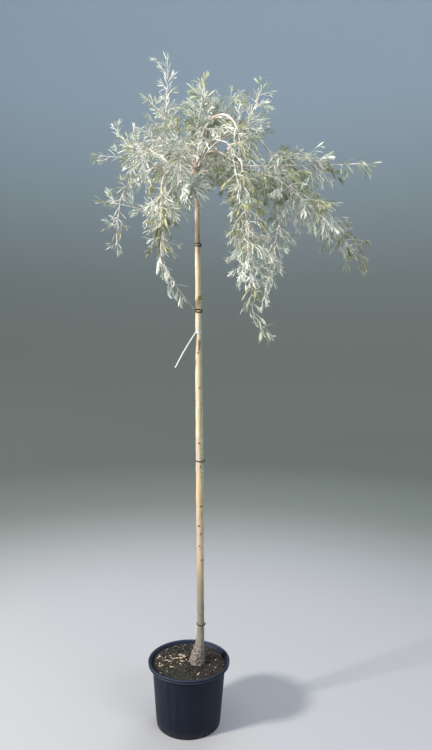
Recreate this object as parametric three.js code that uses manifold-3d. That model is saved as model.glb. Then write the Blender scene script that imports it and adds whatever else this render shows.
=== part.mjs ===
// A weeping silver pear, grafted at the top of a tall bare stem, in a round nursery pot.
// Millimetres, +Z up. The origin is the centre of the pot's flat underside.
// +X is to the right as the tree is seen from the front, and +Y points away from the viewer.
import * as THREE from "three";
import { mergeVertices } from "three/addons/utils/BufferGeometryUtils.js";
import Module from "manifold-3d";

const wasm = await Module();
wasm.setup();

// Driving dimensions
const CLEAR = 0.3; // gap between pieces that touch
const POT = {
  height: 220,
  footRadius: 113.5,
  neckRadius: 130, // of the wall, just under the lip
  neckHeight: 205,
  rimRadius: 146,
  lipHeight: 12,
  lipInside: 8, // width of the lip's slope on the inside
  edge: 3, // of the lip, rounded off
  wall: 2.4,
  floor: 4,
  sides: 28,
};
const SOIL_LEVEL = POT.height - 13;
const SOIL_EDGE = { width: 16, fall: 4 }; // where watering has washed the soil down at the pot's wall

const STEM = {
  foot: SOIL_LEVEL + CLEAR,
  top: 2024,
  footX: 43,
  lean: 0.0186, // to the left for each unit of height, about one degree
  bow: 1, // to the right of the straight line, half way up
  footRadius: 12,
  topRadius: 8.8,
  swell: 3.2, // fullest below the middle
  swellHeight: 950,
  swellSpan: 460,
  sides: 10,
};
// The root flare, out to the left, and the swollen graft that bears the crown. end and start are where
// their rings end and start, in heights of the flare above the soil and spans below the graft.
const FLARE = { radius: 14.5, kick: 14.5, height: 63, end: 2.2, rings: 7 };
const HEAD = { height: 1984, radius: 6.2, span: 40, round: 10, start: 1.6, rings: 5 };
const SHAFT_RINGS = 12;

const TIE = { thickness: 3.2, sides: 12, knot: 5 };
// Height on the stem, turns of the band and the rise between the turns.
const TIES = [
  { name: "tie_upper", height: 1712, turns: 2, pitch: 8 },
  { name: "tie_crown", height: 1474, turns: 2, pitch: 7 },
  { name: "tie_middle", height: 932, turns: 1, pitch: 0 },
  { name: "tie_lower", height: 345, turns: 1, pitch: 0 },
];
const LABEL = { height: 1394, length: 146, width: 20, thickness: 1.2, hang: 60, heading: 196, band: 7 };

// A leaf is drawn larger than life, and stands for a few real ones. widest and deepest are the shares
// of its length where it is broadest and thickest, sag is how far its tip bends down, hang how much it
// turns down, and sink how far its root is set into the twig. tilt turns its face by chance, and its
// size is anywhere from least to most.
const LEAF = {
  length: 83,
  width: 22,
  thickness: 2.4,
  widest: 0.44,
  deepest: 0.14,
  sag: 0.12,
  hang: 0.16,
  sink: 0.6,
  tilt: 0.6,
  least: 0.85,
  most: 1.1,
};
// Side twigs and the leaves on them: the gap between two, the shares of the length where the first
// and the last stand, and the angles in degrees at which they leave what bears them. The twigs' reach
// goes from a base to a tip share, and then from least to most of that by chance.
const TWIG = {
  gap: 82,
  first: 0.05,
  last: 0.97,
  spread: 54,
  tipSpread: 10,
  radius: 2.2,
  tipRadius: 1.5,
  segments: 2,
  sag: 0.28,
  sides: 3,
  baseReach: 1.1,
  tipReach: 0.6,
  least: 0.8,
  most: 1.15,
};
const SPREAD_JITTER = 12;
const LEAFING = { gap: 43, first: 0.26, last: 0.96, spread: 46, tipSpread: 12 };
const BOUGH = { girth: 3, girthPerLength: 1 / 340, tip: 1.7, sides: 6, segment: 34 };
const SEAT = { offset: 10, drop: 12 }; // of a limb's first point: from the stem's axis, and over its root
const MASS = { sides: 4, segment: 62 };
const COURSE_STEPS = 40;
const BEND_WIDTH = 0.13; // share of a limb's length over which it turns, to each side of a bend
const SPACE_MARGIN = 9; // between the spaces of two masses
const LIMB_CLEAR = 1.2; // from leaves and twigs to boughs, the stem and its ties
const STEM_PIECE = 30; // half the height of the piece of stem that a leaf is tried against

// The limbs, from the graft to the tip. root is the height on the stem, and heading the compass
// direction: 0 right, 90 away, 180 left, 270 to the front. bearing is the side of the graft on which a
// limb stands, where that isn't its heading, and seat its distance from the stem's axis. slopes are in
// degrees above the level at the root, between the two bends and at the tip; past -90 the limb hangs
// back towards the stem. fork is the share of the length at which the bough ends and foliage begins.
// reach is the length of the side twigs.
const LIMBS = [
  { name: "leader", root: 2006, heading: 174, slopes: [68, 55, 92], bends: [0.2, 0.56], length: 353,
    fork: 0.28, reach: 60 },
  { name: "left_upper", root: 1998, heading: 204, slopes: [46, 54, 50], bends: [0.3, 0.8], length: 215,
    fork: 0.36, reach: 80 },
  { name: "left_high", root: 1990, heading: 158, slopes: [20, 26, 44], bends: [0.45, 0.85], length: 335,
    fork: 0.28, reach: 90 },
  { name: "left_out", root: 1984, heading: 188, slopes: [28, -8, 2], bends: [0.33, 0.86], length: 300,
    fork: 0.28, reach: 85 },
  { name: "left_low", root: 1966, heading: 196, slopes: [-8, -60, 8], bends: [0.14, 0.6], length: 345,
    fork: 0.24, reach: 80 },
  { name: "left_drooping", root: 1970, heading: 164, slopes: [14, -34, -84], bends: [0.34, 0.66],
    length: 470, fork: 0.24, reach: 80 },
  { name: "left_weeping", root: 1948, heading: 222, slopes: [12, -90, -138], bends: [0.19, 0.7],
    length: 660, fork: 0.17, reach: 66 },
  { name: "left_middle", root: 1996, heading: 258, slopes: [30, -20, -66], bends: [0.25, 0.62],
    length: 320, fork: 0.28, reach: 85 },
  { name: "top_middle", root: 2016, heading: 24, seat: 0, slopes: [86, 86, 82], bends: [0.3, 0.7],
    length: 235, fork: 0.3, reach: 90 },
  { name: "upper_right", root: 1996, heading: 342, slopes: [56, 24, 70], bends: [0.26, 0.74],
    length: 310, fork: 0.28, reach: 90 },
  { name: "top_right", root: 2012, heading: 32, bearing: 52, slopes: [70, 56, 56], bends: [0.3, 0.75],
    length: 285, fork: 0.3, reach: 90 },
  { name: "front_weeping", root: 2004, heading: 320, bearing: 284, slopes: [84, -12, -84],
    bends: [0.15, 0.27], length: 960, fork: 0.22, reach: 100 },
  { name: "right_out", root: 2006, heading: 358, bearing: 6, slopes: [74, -42, 1], bends: [0.1, 0.3],
    length: 575, fork: 0.2, reach: 95 },
  { name: "right_middle", root: 1970, heading: 342, slopes: [10, -20, -44], bends: [0.22, 0.62],
    length: 490, fork: 0.2, reach: 90 },
  { name: "right_low", root: 1986, heading: 14, slopes: [56, -46, -44], bends: [0.26, 0.8], length: 855,
    fork: 0.2, reach: 105 },
  { name: "right_inner", root: 1964, heading: 34, slopes: [36, -26, -104], bends: [0.2, 0.55],
    length: 780, fork: 0.18, reach: 90 },
  { name: "back_top", root: 2008, heading: 96, slopes: [74, 62, 40], bends: [0.3, 0.75], length: 290,
    fork: 0.32, reach: 90 },
  { name: "back_out", root: 1976, heading: 86, slopes: [34, 4, 14], bends: [0.3, 0.7], length: 400,
    fork: 0.24, reach: 100 },
  { name: "back_left", root: 1974, heading: 126, slopes: [34, -40, -88], bends: [0.25, 0.5], length: 520,
    fork: 0.22, reach: 95 },
  { name: "back_right", root: 1982, heading: 52, slopes: [28, -44, -90], bends: [0.28, 0.52], length: 620,
    fork: 0.2, reach: 95 },
  { name: "back_low", root: 1950, heading: 106, slopes: [-4, 8, -24], bends: [0.3, 0.75], length: 330,
    fork: 0.28, reach: 90 },
  { name: "back_high", root: 1990, heading: 68, slopes: [46, 16, -34], bends: [0.35, 0.8], length: 340,
    fork: 0.28, reach: 90 },
  { name: "front_left", root: 1974, heading: 236, slopes: [30, -10, -52], bends: [0.3, 0.7], length: 370,
    fork: 0.26, reach: 90 },
  { name: "front_right", root: 1988, heading: 298, slopes: [40, -24, -70], bends: [0.28, 0.66],
    length: 400, fork: 0.24, reach: 90 },
];
// Short shoots that stand straight on the graft, with no bough, and the leaf rosette low on its front.
const SHOOTS = [
  { name: "inner_right", root: 1960, heading: 308, slopes: [24, 14, -10], bends: [0.4, 0.8], length: 130,
    fork: 0, reach: 44, scale: 0.6 },
  { name: "inner_back", root: 1954, heading: 76, slopes: [16, 12, -20], bends: [0.4, 0.8], length: 120,
    fork: 0, reach: 44, scale: 0.6 },
  { name: "front_rosette", root: 1895, heading: 262, slopes: [16, 0, -20], bends: [0.4, 0.8],
    length: 74, fork: 0, reach: 40, scale: 0.9 },
];

const LOOKS = {
  pot: { color: 0x1b1f27, roughness: 0.45, metalness: 0 },
  soil: { color: 0x463729, roughness: 0.95, metalness: 0 },
  stem: { color: 0xc2ad8c, roughness: 0.8, metalness: 0 },
  bough: { color: 0xb9b2a2, roughness: 0.8, metalness: 0 },
  foliage: { color: 0xa9b39a, roughness: 0.75, metalness: 0 },
  tie: { color: 0x1d1d1d, roughness: 0.7, metalness: 0 },
  label: { color: 0xe8eaec, roughness: 0.5, metalness: 0 },
};

// Small sums
const radians = THREE.MathUtils.degToRad;
const { lerp, smoothstep, clamp } = THREE.MathUtils;

function compass(heading, climb) {
  const level = Math.cos(radians(climb));
  const turn = radians(heading);
  return new THREE.Vector3(level * Math.cos(turn), level * Math.sin(turn), Math.sin(radians(climb)));
}

function seededRandom(seed) {
  let state = seed;
  return (low, high) => {
    state = (Math.imul(state, 1664525) + 1013904223) >>> 0;
    return lerp(low, high, state / 2 ** 32);
  };
}

function distanceToPath(point, path) {
  const leg = new THREE.Line3();
  const foot = new THREE.Vector3();
  let nearest = Infinity;
  for (let i = 1; i < path.length; i += 1) {
    leg.set(path[i - 1], path[i]).closestPointToPoint(point, true, foot);
    nearest = Math.min(nearest, foot.distanceTo(point));
  }
  return nearest;
}

// Solids: a closed mesh becomes a solid, and a solid a mesh's geometry again.
function solidOf(geometry) {
  geometry.deleteAttribute("normal");
  geometry.deleteAttribute("uv");
  const merged = mergeVertices(geometry);
  const { array } = merged.index;
  const corners = [];
  for (let i = 0; i < array.length; i += 3) {
    const [a, b, c] = array.slice(i, i + 3);
    if (a !== b && b !== c && c !== a) {
      corners.push(a, b, c);
    }
  }
  return new wasm.Manifold(new wasm.Mesh({
    numProp: 3,
    vertProperties: new Float32Array(merged.attributes.position.array),
    triVerts: new Uint32Array(corners),
  }));
}

function geometryOf(solid) {
  const mesh = solid.getMesh();
  const geometry = new THREE.BufferGeometry();
  geometry.setAttribute("position", new THREE.BufferAttribute(mesh.vertProperties, 3));
  geometry.setIndex(new THREE.BufferAttribute(mesh.triVerts, 1));
  geometry.computeVertexNormals();
  return geometry;
}

// Joins solids two by two, then keeps the one body that the stem belongs to: sealed hollows are
// filled by leaving out their inner skins, and loose scraps are dropped.
function fuse(solids) {
  let row = solids;
  while (row.length > 1) {
    const joined = [];
    for (let i = 0; i < row.length; i += 2) {
      joined.push(i + 1 < row.length ? row[i].add(row[i + 1]) : row[i]);
    }
    row = joined;
  }
  return row[0].decompose().reduce((best, body) => (body.volume() > best.volume() ? body : best));
}

// Frames along a path, each the last one turned as little as the path's directions allow.
function carriedFrames(path, directions) {
  let side = new THREE.Vector3(0, 1, 0);
  return path.map((point, i) => {
    const along = directions[i];
    side = side.clone().addScaledVector(along, -side.dot(along)).normalize();
    return { point, along, side, across: side.clone().cross(along) };
  });
}

function levelFrames(path) {
  return path.map((point) => ({
    point,
    along: new THREE.Vector3(0, 0, 1),
    side: new THREE.Vector3(1, 0, 0),
    across: new THREE.Vector3(0, -1, 0),
  }));
}

// A tapering round rod: a straight lathe turning whose rings are then moved onto the frames.
function rod(frames, radii, sides) {
  const profile = radii.map((radius, i) => new THREE.Vector2(radius, i));
  profile.unshift(new THREE.Vector2(0, 0));
  profile.push(new THREE.Vector2(0, radii.length - 1));
  const geometry = new THREE.LatheGeometry(profile, sides);
  const { position } = geometry.attributes;
  const vertex = new THREE.Vector3();
  for (let i = 0; i < position.count; i += 1) {
    vertex.fromBufferAttribute(position, i);
    const frame = frames[Math.round(vertex.y)];
    const moved = frame.point.clone()
      .addScaledVector(frame.side, vertex.x)
      .addScaledVector(frame.across, vertex.z);
    position.setXYZ(i, moved.x, moved.y, moved.z);
  }
  return solidOf(geometry);
}

// The stem
function flareShare(height) {
  return Math.exp(-(((height - STEM.foot) / FLARE.height) ** 2));
}

function stemCentre(height) {
  const climbed = height - STEM.foot;
  const share = climbed / (STEM.top - STEM.foot);
  const kick = FLARE.kick * flareShare(height);
  const x = STEM.footX - STEM.lean * climbed + STEM.bow * Math.sin(Math.PI * share) - kick;
  return new THREE.Vector3(x, 0, height);
}

function stemRadius(height) {
  const share = (height - STEM.foot) / (STEM.top - STEM.foot);
  const swell = STEM.swell * Math.exp(-(((height - STEM.swellHeight) / STEM.swellSpan) ** 2));
  const flare = FLARE.radius * flareShare(height);
  const head = HEAD.radius * Math.exp(-(((height - HEAD.height) / HEAD.span) ** 2));
  return lerp(STEM.footRadius, STEM.topRadius, share) + swell + flare + head;
}

function stemHeights() {
  const flareEnd = STEM.foot + FLARE.end * FLARE.height;
  const shaftEnd = HEAD.height - HEAD.start * HEAD.span;
  const headEnd = STEM.top - HEAD.round;
  const heights = [];
  for (let i = 0; i < FLARE.rings; i += 1) {
    heights.push(lerp(STEM.foot, flareEnd, i / FLARE.rings));
  }
  for (let i = 0; i < SHAFT_RINGS; i += 1) {
    heights.push(lerp(flareEnd, shaftEnd, i / SHAFT_RINGS));
  }
  for (let i = 0; i <= HEAD.rings; i += 1) {
    heights.push(lerp(shaftEnd, headEnd, i / HEAD.rings));
  }
  return heights;
}

function makeStem(grow = 0) {
  const heights = stemHeights();
  const radii = heights.map((height) => stemRadius(height) + grow);
  heights.push(STEM.top + grow);
  radii.push(STEM.topRadius - HEAD.round / 2 + grow);
  return rod(levelFrames(heights.map(stemCentre)), radii, STEM.sides);
}

// The pot and its soil
function wallRadius(height) {
  return lerp(POT.footRadius, POT.neckRadius, height / POT.neckHeight);
}

function makePot() {
  const lipFoot = POT.height - POT.lipHeight;
  const innerTop = wallRadius(lipFoot) - POT.wall;
  const profile = [
    [0, 0],
    [POT.footRadius, 0],
    [POT.neckRadius, POT.neckHeight],
    [POT.rimRadius - POT.edge, lipFoot],
    [POT.rimRadius, lipFoot + POT.edge],
    [POT.rimRadius, POT.height - POT.edge],
    [POT.rimRadius - POT.edge, POT.height],
    [innerTop + POT.lipInside, POT.height],
    [innerTop, lipFoot],
    [wallRadius(POT.floor) - POT.wall, POT.floor],
    [0, POT.floor],
  ].map(([radius, height]) => new THREE.Vector2(radius, height));
  return solidOf(new THREE.LatheGeometry(profile, POT.sides).rotateX(Math.PI / 2));
}

function makeSoil() {
  const foot = POT.floor + CLEAR;
  const inside = (height) => wallRadius(height) - POT.wall - 2 * CLEAR;
  const edge = SOIL_LEVEL - SOIL_EDGE.fall;
  const profile = [
    [0, foot],
    [inside(foot), foot],
    [inside(edge), edge],
    [inside(edge) - SOIL_EDGE.width, SOIL_LEVEL],
    [0, SOIL_LEVEL],
  ].map(([radius, height]) => new THREE.Vector2(radius, height));
  return solidOf(new THREE.LatheGeometry(profile, POT.sides).rotateX(Math.PI / 2));
}

// The ties and the label
function band(inner, thickness, height, sides) {
  const profile = [[inner, 0], [inner + thickness, 0], [inner + thickness, height], [inner, height],
    [inner, 0]].map(([radius, level]) => new THREE.Vector2(radius, level));
  return new THREE.LatheGeometry(profile, sides).rotateX(Math.PI / 2);
}

// The corner radius of a band whose flats clear the stem.
function bandRadius(radius) {
  return (radius + 1.5 * CLEAR) / Math.cos(Math.PI / TIE.sides);
}

// The turns of a tie, one under the other, with a knot over them on the right.
function makeTie({ height, turns, pitch }) {
  const centre = stemCentre(height);
  const drop = (turns - 1) * pitch;
  const inner = bandRadius(stemRadius(height - drop));
  const solids = [];
  for (let turn = 0; turn < turns; turn += 1) {
    const ring = band(inner, TIE.thickness, TIE.thickness, TIE.sides);
    ring.translate(centre.x, centre.y, height - turn * pitch);
    solids.push(solidOf(ring));
  }
  const knot = new THREE.BoxGeometry(TIE.knot, TIE.knot, drop + TIE.knot);
  const knotX = centre.x + inner + TIE.knot / 2 + CLEAR;
  knot.translate(knotX, 0, height + (TIE.thickness - drop) / 2);
  solids.push(solidOf(knot));
  return fuse(solids);
}

// A blank strip that hangs to the left from a loop round the stem.
function makeLabel() {
  const centre = stemCentre(LABEL.height);
  const inner = bandRadius(stemRadius(LABEL.height));
  const loop = band(inner, LABEL.thickness, LABEL.band, TIE.sides);
  loop.translate(centre.x, centre.y, LABEL.height);
  const strip = new THREE.BoxGeometry(LABEL.length, LABEL.width, LABEL.thickness);
  strip.translate(LABEL.length / 2, 0, 0);
  strip.rotateY(radians(LABEL.hang));
  strip.rotateZ(radians(LABEL.heading));
  const seat = compass(LABEL.heading, 0).multiplyScalar(inner + LABEL.thickness / 2);
  strip.translate(centre.x + seat.x, centre.y + seat.y, LABEL.height + LABEL.band / 2);
  return fuse([solidOf(loop), solidOf(strip)]);
}

// The way a limb grows at a share of its length.
function directionOf(limb, share) {
  const [rise, cruise, fall] = limb.slopes;
  const [first, second] = limb.bends;
  const climb = rise
    + (cruise - rise) * smoothstep(share, first - BEND_WIDTH, first + BEND_WIDTH)
    + (fall - cruise) * smoothstep(share, second - BEND_WIDTH, second + BEND_WIDTH);
  return compass(limb.heading, climb);
}

// A limb's course: evenly spaced points from its seat in the graft to the tip.
function courseOf(limb) {
  const { root, heading, bearing = heading, seat = SEAT.offset, length } = limb;
  const points = [stemCentre(root).addScaledVector(compass(bearing, 0), seat)];
  for (let i = 0; i < COURSE_STEPS; i += 1) {
    const way = directionOf(limb, (i + 0.5) / COURSE_STEPS);
    points.push(points[i].clone().addScaledVector(way, length / COURSE_STEPS));
  }
  return points;
}

function limbRadius(limb, share) {
  const girth = BOUGH.girth + limb.length * BOUGH.girthPerLength;
  return lerp(girth, BOUGH.tip, share ** 0.8);
}

// The stretch of a limb between two shares of its length, as points, directions and radii.
function stretchOf(limb, from, to, segment) {
  const count = Math.max(2, Math.round((to - from) * limb.length / segment));
  const path = [];
  const directions = [];
  const radii = [];
  for (let i = 0; i <= count; i += 1) {
    const share = lerp(from, to, i / count);
    const place = share * COURSE_STEPS;
    const index = Math.min(Math.floor(place), COURSE_STEPS - 1);
    path.push(limb.course[index].clone().lerp(limb.course[index + 1], place - index));
    directions.push(directionOf(limb, share));
    radii.push(limbRadius(limb, share));
  }
  return { path, directions, radii };
}

// A bough starts on the stem's axis, under its seat, and the stem is cut out of it.
function makeBough(limb, stemCutter) {
  const { path, directions, radii } = stretchOf(limb, 0, limb.fork, BOUGH.segment);
  if (limb.seat !== 0) {
    const inner = stemCentre(limb.root - SEAT.drop);
    directions.unshift(path[0].clone().sub(inner).normalize());
    path.unshift(inner);
    radii.unshift(radii[0]);
  }
  return fuse([rod(carriedFrames(path, directions), radii, BOUGH.sides).subtract(stemCutter)]);
}

// One leaf: an octahedron drawn out to a blade that is widest near the middle and sags to its tip.
function leafAt(root, along, flat, size) {
  const across = along.clone().cross(flat).normalize();
  const up = across.clone().cross(along);
  const geometry = new THREE.OctahedronGeometry(1);
  const { position } = geometry.attributes;
  for (let i = 0; i < position.count; i += 1) {
    const [x, y, z] = [position.getX(i), position.getY(i), position.getZ(i)];
    const isTip = y > 0.5;
    const isRoot = y < -0.5;
    let reach = LEAF.deepest * LEAF.length * size;
    if (Math.abs(x) > 0.5) {
      reach = LEAF.widest * LEAF.length * size;
    } else if (isTip) {
      reach = LEAF.length * size;
    } else if (isRoot) {
      reach = -LEAF.sink;
    }
    const sag = isTip ? LEAF.sag * LEAF.length * size : 0;
    const vertex = root.clone()
      .addScaledVector(along, reach)
      .addScaledVector(across, x * LEAF.width * size / 2)
      .addScaledVector(up, z * LEAF.thickness / 2 - sag);
    position.setXYZ(i, vertex.x, vertex.y, vertex.z);
  }
  return geometry;
}

// Places in a leaf that are tried against its neighbours: along the rib and at both edges.
function leafProbes(geometry) {
  const { position } = geometry.attributes;
  const corners = [];
  for (let i = 0; i < position.count; i += 1) {
    corners.push(new THREE.Vector3().fromBufferAttribute(position, i));
  }
  const middle = corners.reduce((sum, corner) => sum.add(corner), new THREE.Vector3())
    .divideScalar(corners.length);
  const halfway = corners.map((corner) => corner.clone().lerp(middle, 0.5));
  return [...corners, ...halfway, middle];
}

function distanceToStem(point) {
  const onStem = (height) => clamp(height, STEM.foot, STEM.top);
  const piece = [point.z - STEM_PIECE, point.z + STEM_PIECE].map((end) => stemCentre(onStem(end)));
  return distanceToPath(point, piece) - stemRadius(onStem(point.z)) - TIE.thickness;
}

// True where every probe is nearer to the mass's own stem than to any other mass's, by the margin,
// and clear of the stem, the boughs and the ties.
function keepsItsSpace(probes, own, limbs) {
  return probes.every((probe) => {
    const home = distanceToPath(probe, own.massPath);
    if (distanceToStem(probe) < LIMB_CLEAR) {
      return false;
    }
    return limbs.every((limb) => {
      const free = limb.fork === 0
        || distanceToPath(probe, limb.boughPath) > limbRadius(limb, 0) + LIMB_CLEAR;
      return free && (limb === own || distanceToPath(probe, limb.massPath) > home + SPACE_MARGIN);
    });
  });
}

// The way out through one face of a rod, so that what grows there crosses no edge of it.
function faceDirection(frame, sides, face) {
  const turn = (2 * (face % sides) + 1) * Math.PI / sides;
  return frame.side.clone().multiplyScalar(Math.sin(turn)).addScaledVector(frame.across, Math.cos(turn));
}

function leaning(along, outward, spread) {
  return along.clone().multiplyScalar(Math.cos(radians(spread)))
    .addScaledVector(outward, Math.sin(radians(spread)));
}

// A place on a rod at a share of its length, with the frame of the leg that it lies on.
function placeOn(frames, share) {
  const legs = frames.length - 1;
  const leg = Math.min(Math.floor(share * legs), legs - 1);
  const root = frames[leg].point.clone().lerp(frames[leg + 1].point, share * legs - leg);
  return { root, frame: frames[leg] };
}

// A mass of foliage: one stem, side twigs that grow from it by a seeded rule, and their leaves. What
// would leave the mass's own space is skipped, and so is a twig that would bear no leaf.
class Mass {
  constructor(limb, index, limbs) {
    this.limb = limb;
    this.scale = limb.scale ?? 1; // of the leaves
    this.limbs = limbs;
    this.random = seededRandom(index + 1);
    const start = limb.fork + CLEAR / limb.length;
    const { path, directions, radii } = stretchOf(limb, start, 1, MASS.segment);
    this.frames = carriedFrames(path, directions);
    this.length = limb.length * (1 - limb.fork);
    this.solids = [rod(this.frames, radii, MASS.sides)];
    this.grow();
  }

  jittered(spread) {
    return spread + this.random(-SPREAD_JITTER, SPREAD_JITTER);
  }

  leaf(root, along, outward, spread) {
    const blade = leaning(along, outward, spread);
    blade.z -= LEAF.hang;
    blade.normalize();
    const tilts = [this.random(-LEAF.tilt, LEAF.tilt), this.random(-LEAF.tilt, LEAF.tilt)];
    const flat = new THREE.Vector3(...tilts, 1);
    const size = this.scale * this.random(LEAF.least, LEAF.most);
    const geometry = leafAt(root, blade, flat.add(outward), size);
    return keepsItsSpace(leafProbes(geometry), this.limb, this.limbs) ? solidOf(geometry) : null;
  }

  twig(root, direction, reach) {
    const path = [root];
    const directions = [direction];
    for (let i = 0; i < TWIG.segments; i += 1) {
      path.push(path[i].clone().addScaledVector(directions[i], reach / TWIG.segments));
      const sagged = directions[i].clone();
      sagged.z -= TWIG.sag;
      directions.push(sagged.normalize());
    }
    if (!keepsItsSpace(path.slice(1), this.limb, this.limbs)) {
      return;
    }
    const frames = carriedFrames(path, directions);
    const radii = path.map((point, i) => lerp(TWIG.radius, TWIG.tipRadius, i / TWIG.segments));
    const count = Math.max(2, Math.round(reach / LEAFING.gap));
    const first = Math.floor(this.random(0, TWIG.sides));
    const leaves = [];
    for (let i = 0; i <= count; i += 1) {
      const { root: foot, frame } = placeOn(frames, lerp(LEAFING.first, LEAFING.last, i / count));
      const outward = faceDirection(frame, TWIG.sides, first + i);
      const spread = i === count ? LEAFING.tipSpread : this.jittered(LEAFING.spread);
      leaves.push(this.leaf(foot, frame.along, outward, spread));
    }
    const kept = leaves.filter((leaf) => leaf);
    if (kept.length > 0) {
      this.solids.push(rod(frames, radii, TWIG.sides), ...kept);
    }
  }

  grow() {
    const shoots = Math.max(3, Math.round(this.length / TWIG.gap));
    const first = Math.floor(this.random(0, MASS.sides));
    for (let i = 0; i <= shoots; i += 1) {
      const share = lerp(TWIG.first, TWIG.last, i / shoots);
      const { root, frame } = placeOn(this.frames, share);
      const face = first + i * (MASS.sides - 1);
      const spread = i === shoots ? TWIG.tipSpread : this.jittered(TWIG.spread);
      const direction = leaning(frame.along, faceDirection(frame, MASS.sides, face), spread);
      const reach = this.limb.reach * lerp(TWIG.baseReach, TWIG.tipReach, share);
      this.twig(root, direction, reach * this.random(TWIG.least, TWIG.most));
      const opposite = faceDirection(frame, MASS.sides, face + 2);
      const leaf = this.leaf(root, frame.along, opposite, LEAFING.spread);
      if (leaf) {
        this.solids.push(leaf);
      }
    }
  }

  solid(stemCutter) {
    const whole = fuse(this.solids);
    return this.limb.fork > 0 ? whole : fuse([whole.subtract(stemCutter)]);
  }
}

// The whole plant
function meshOf(name, look, solid) {
  const mesh = new THREE.Mesh(geometryOf(solid), new THREE.MeshStandardMaterial(look));
  mesh.name = name;
  return mesh;
}

function makePlant() {
  const plant = new THREE.Group();
  plant.name = "potted_weeping_pear";
  plant.add(meshOf("pot", LOOKS.pot, makePot()));
  plant.add(meshOf("soil", LOOKS.soil, makeSoil()));
  plant.add(meshOf("trunk", LOOKS.stem, makeStem()));
  TIES.forEach((tie) => plant.add(meshOf(tie.name, LOOKS.tie, makeTie(tie))));
  plant.add(meshOf("label", LOOKS.label, makeLabel()));

  const stemCutter = makeStem(CLEAR);
  const limbs = [...LIMBS, ...SHOOTS].map((limb) => ({ ...limb }));
  limbs.forEach((limb) => {
    limb.course = courseOf(limb);
    limb.boughPath = stretchOf(limb, 0, limb.fork, BOUGH.segment).path;
    limb.massPath = stretchOf(limb, limb.fork, 1, MASS.segment).path;
  });
  limbs.forEach((limb, index) => {
    if (limb.fork > 0) {
      plant.add(meshOf(`bough_${limb.name}`, LOOKS.bough, makeBough(limb, stemCutter)));
    }
    const mass = new Mass(limb, index, limbs);
    plant.add(meshOf(`foliage_${limb.name}`, LOOKS.foliage, mass.solid(stemCutter)));
  });
  return plant;
}

export default makePlant();
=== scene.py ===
"""A weeping silver pear on a tall stem, in a round nursery pot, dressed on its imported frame.

Metres, +Z up. The origin is the centre of the pot's flat underside, and the viewer looks along +Y.
"""

import itertools
import logging
import math
import random
from dataclasses import dataclass, field
from enum import Enum
from typing import Iterable, Protocol, Sequence

import bpy
import numpy as np
from mathutils import Matrix, Vector, noise


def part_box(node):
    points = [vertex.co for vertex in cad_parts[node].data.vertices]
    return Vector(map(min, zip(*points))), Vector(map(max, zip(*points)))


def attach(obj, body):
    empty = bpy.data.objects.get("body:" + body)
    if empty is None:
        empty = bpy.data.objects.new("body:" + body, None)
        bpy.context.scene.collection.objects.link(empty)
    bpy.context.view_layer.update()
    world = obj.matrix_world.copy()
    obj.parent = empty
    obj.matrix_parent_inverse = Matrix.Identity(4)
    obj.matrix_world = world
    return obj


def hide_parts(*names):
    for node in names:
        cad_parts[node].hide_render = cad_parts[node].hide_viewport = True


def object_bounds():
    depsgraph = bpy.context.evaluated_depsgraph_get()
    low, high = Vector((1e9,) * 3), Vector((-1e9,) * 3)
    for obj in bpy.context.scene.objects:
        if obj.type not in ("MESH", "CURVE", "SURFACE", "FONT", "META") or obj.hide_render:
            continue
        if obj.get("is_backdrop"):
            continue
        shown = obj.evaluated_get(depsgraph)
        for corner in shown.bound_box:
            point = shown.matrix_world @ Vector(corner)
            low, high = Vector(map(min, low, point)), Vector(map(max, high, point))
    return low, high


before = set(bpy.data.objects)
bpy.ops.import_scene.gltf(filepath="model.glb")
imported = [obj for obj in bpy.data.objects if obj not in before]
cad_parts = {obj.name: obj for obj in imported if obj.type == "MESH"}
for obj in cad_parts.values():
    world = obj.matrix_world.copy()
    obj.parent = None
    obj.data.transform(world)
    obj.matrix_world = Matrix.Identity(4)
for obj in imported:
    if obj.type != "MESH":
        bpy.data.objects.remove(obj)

LOG = logging.getLogger("weeping_pear")
BODY = "root"
# Where the viewer's eye and the strongest lamp are.
EYE = Vector((0.0857, -2.1, 1.307))
KEY_LAMP = Vector((-3.7, -1.9, 2.9))
Colour = tuple[float, float, float, float]
Pair = tuple[float, float]
Piece = bpy.types.Object


def srgb(red: int, green: int, blue: int) -> Colour:
    """The linear colour of a screen colour that is given from 0 to 255."""
    return tuple((value / 255) ** 2.2 for value in (red, green, blue)) + (1.0,)


def lerp(first: float, last: float, share: float) -> float:
    """The value at a share of the way from first to last."""
    return first + (last - first) * share


def smoothstep(value: float, low: float, high: float) -> float:
    """A smooth step from 0 at low to 1 at high."""
    share = min(max((value - low) / (high - low), 0.0), 1.0)
    return share * share * (3 - 2 * share)


def compass(heading: float, climb: float) -> Vector:
    """Turns a heading and a climb into a direction.

    Args:
        heading: 0 is to the right, 90 away from the viewer and 180 to the left, in degrees.
        climb: how far it climbs, in degrees.

    Returns:
        The direction, one unit long.
    """
    level = math.cos(math.radians(climb))
    turn = math.radians(heading)
    return Vector((level * math.cos(turn), level * math.sin(turn), math.sin(math.radians(climb))))


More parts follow.
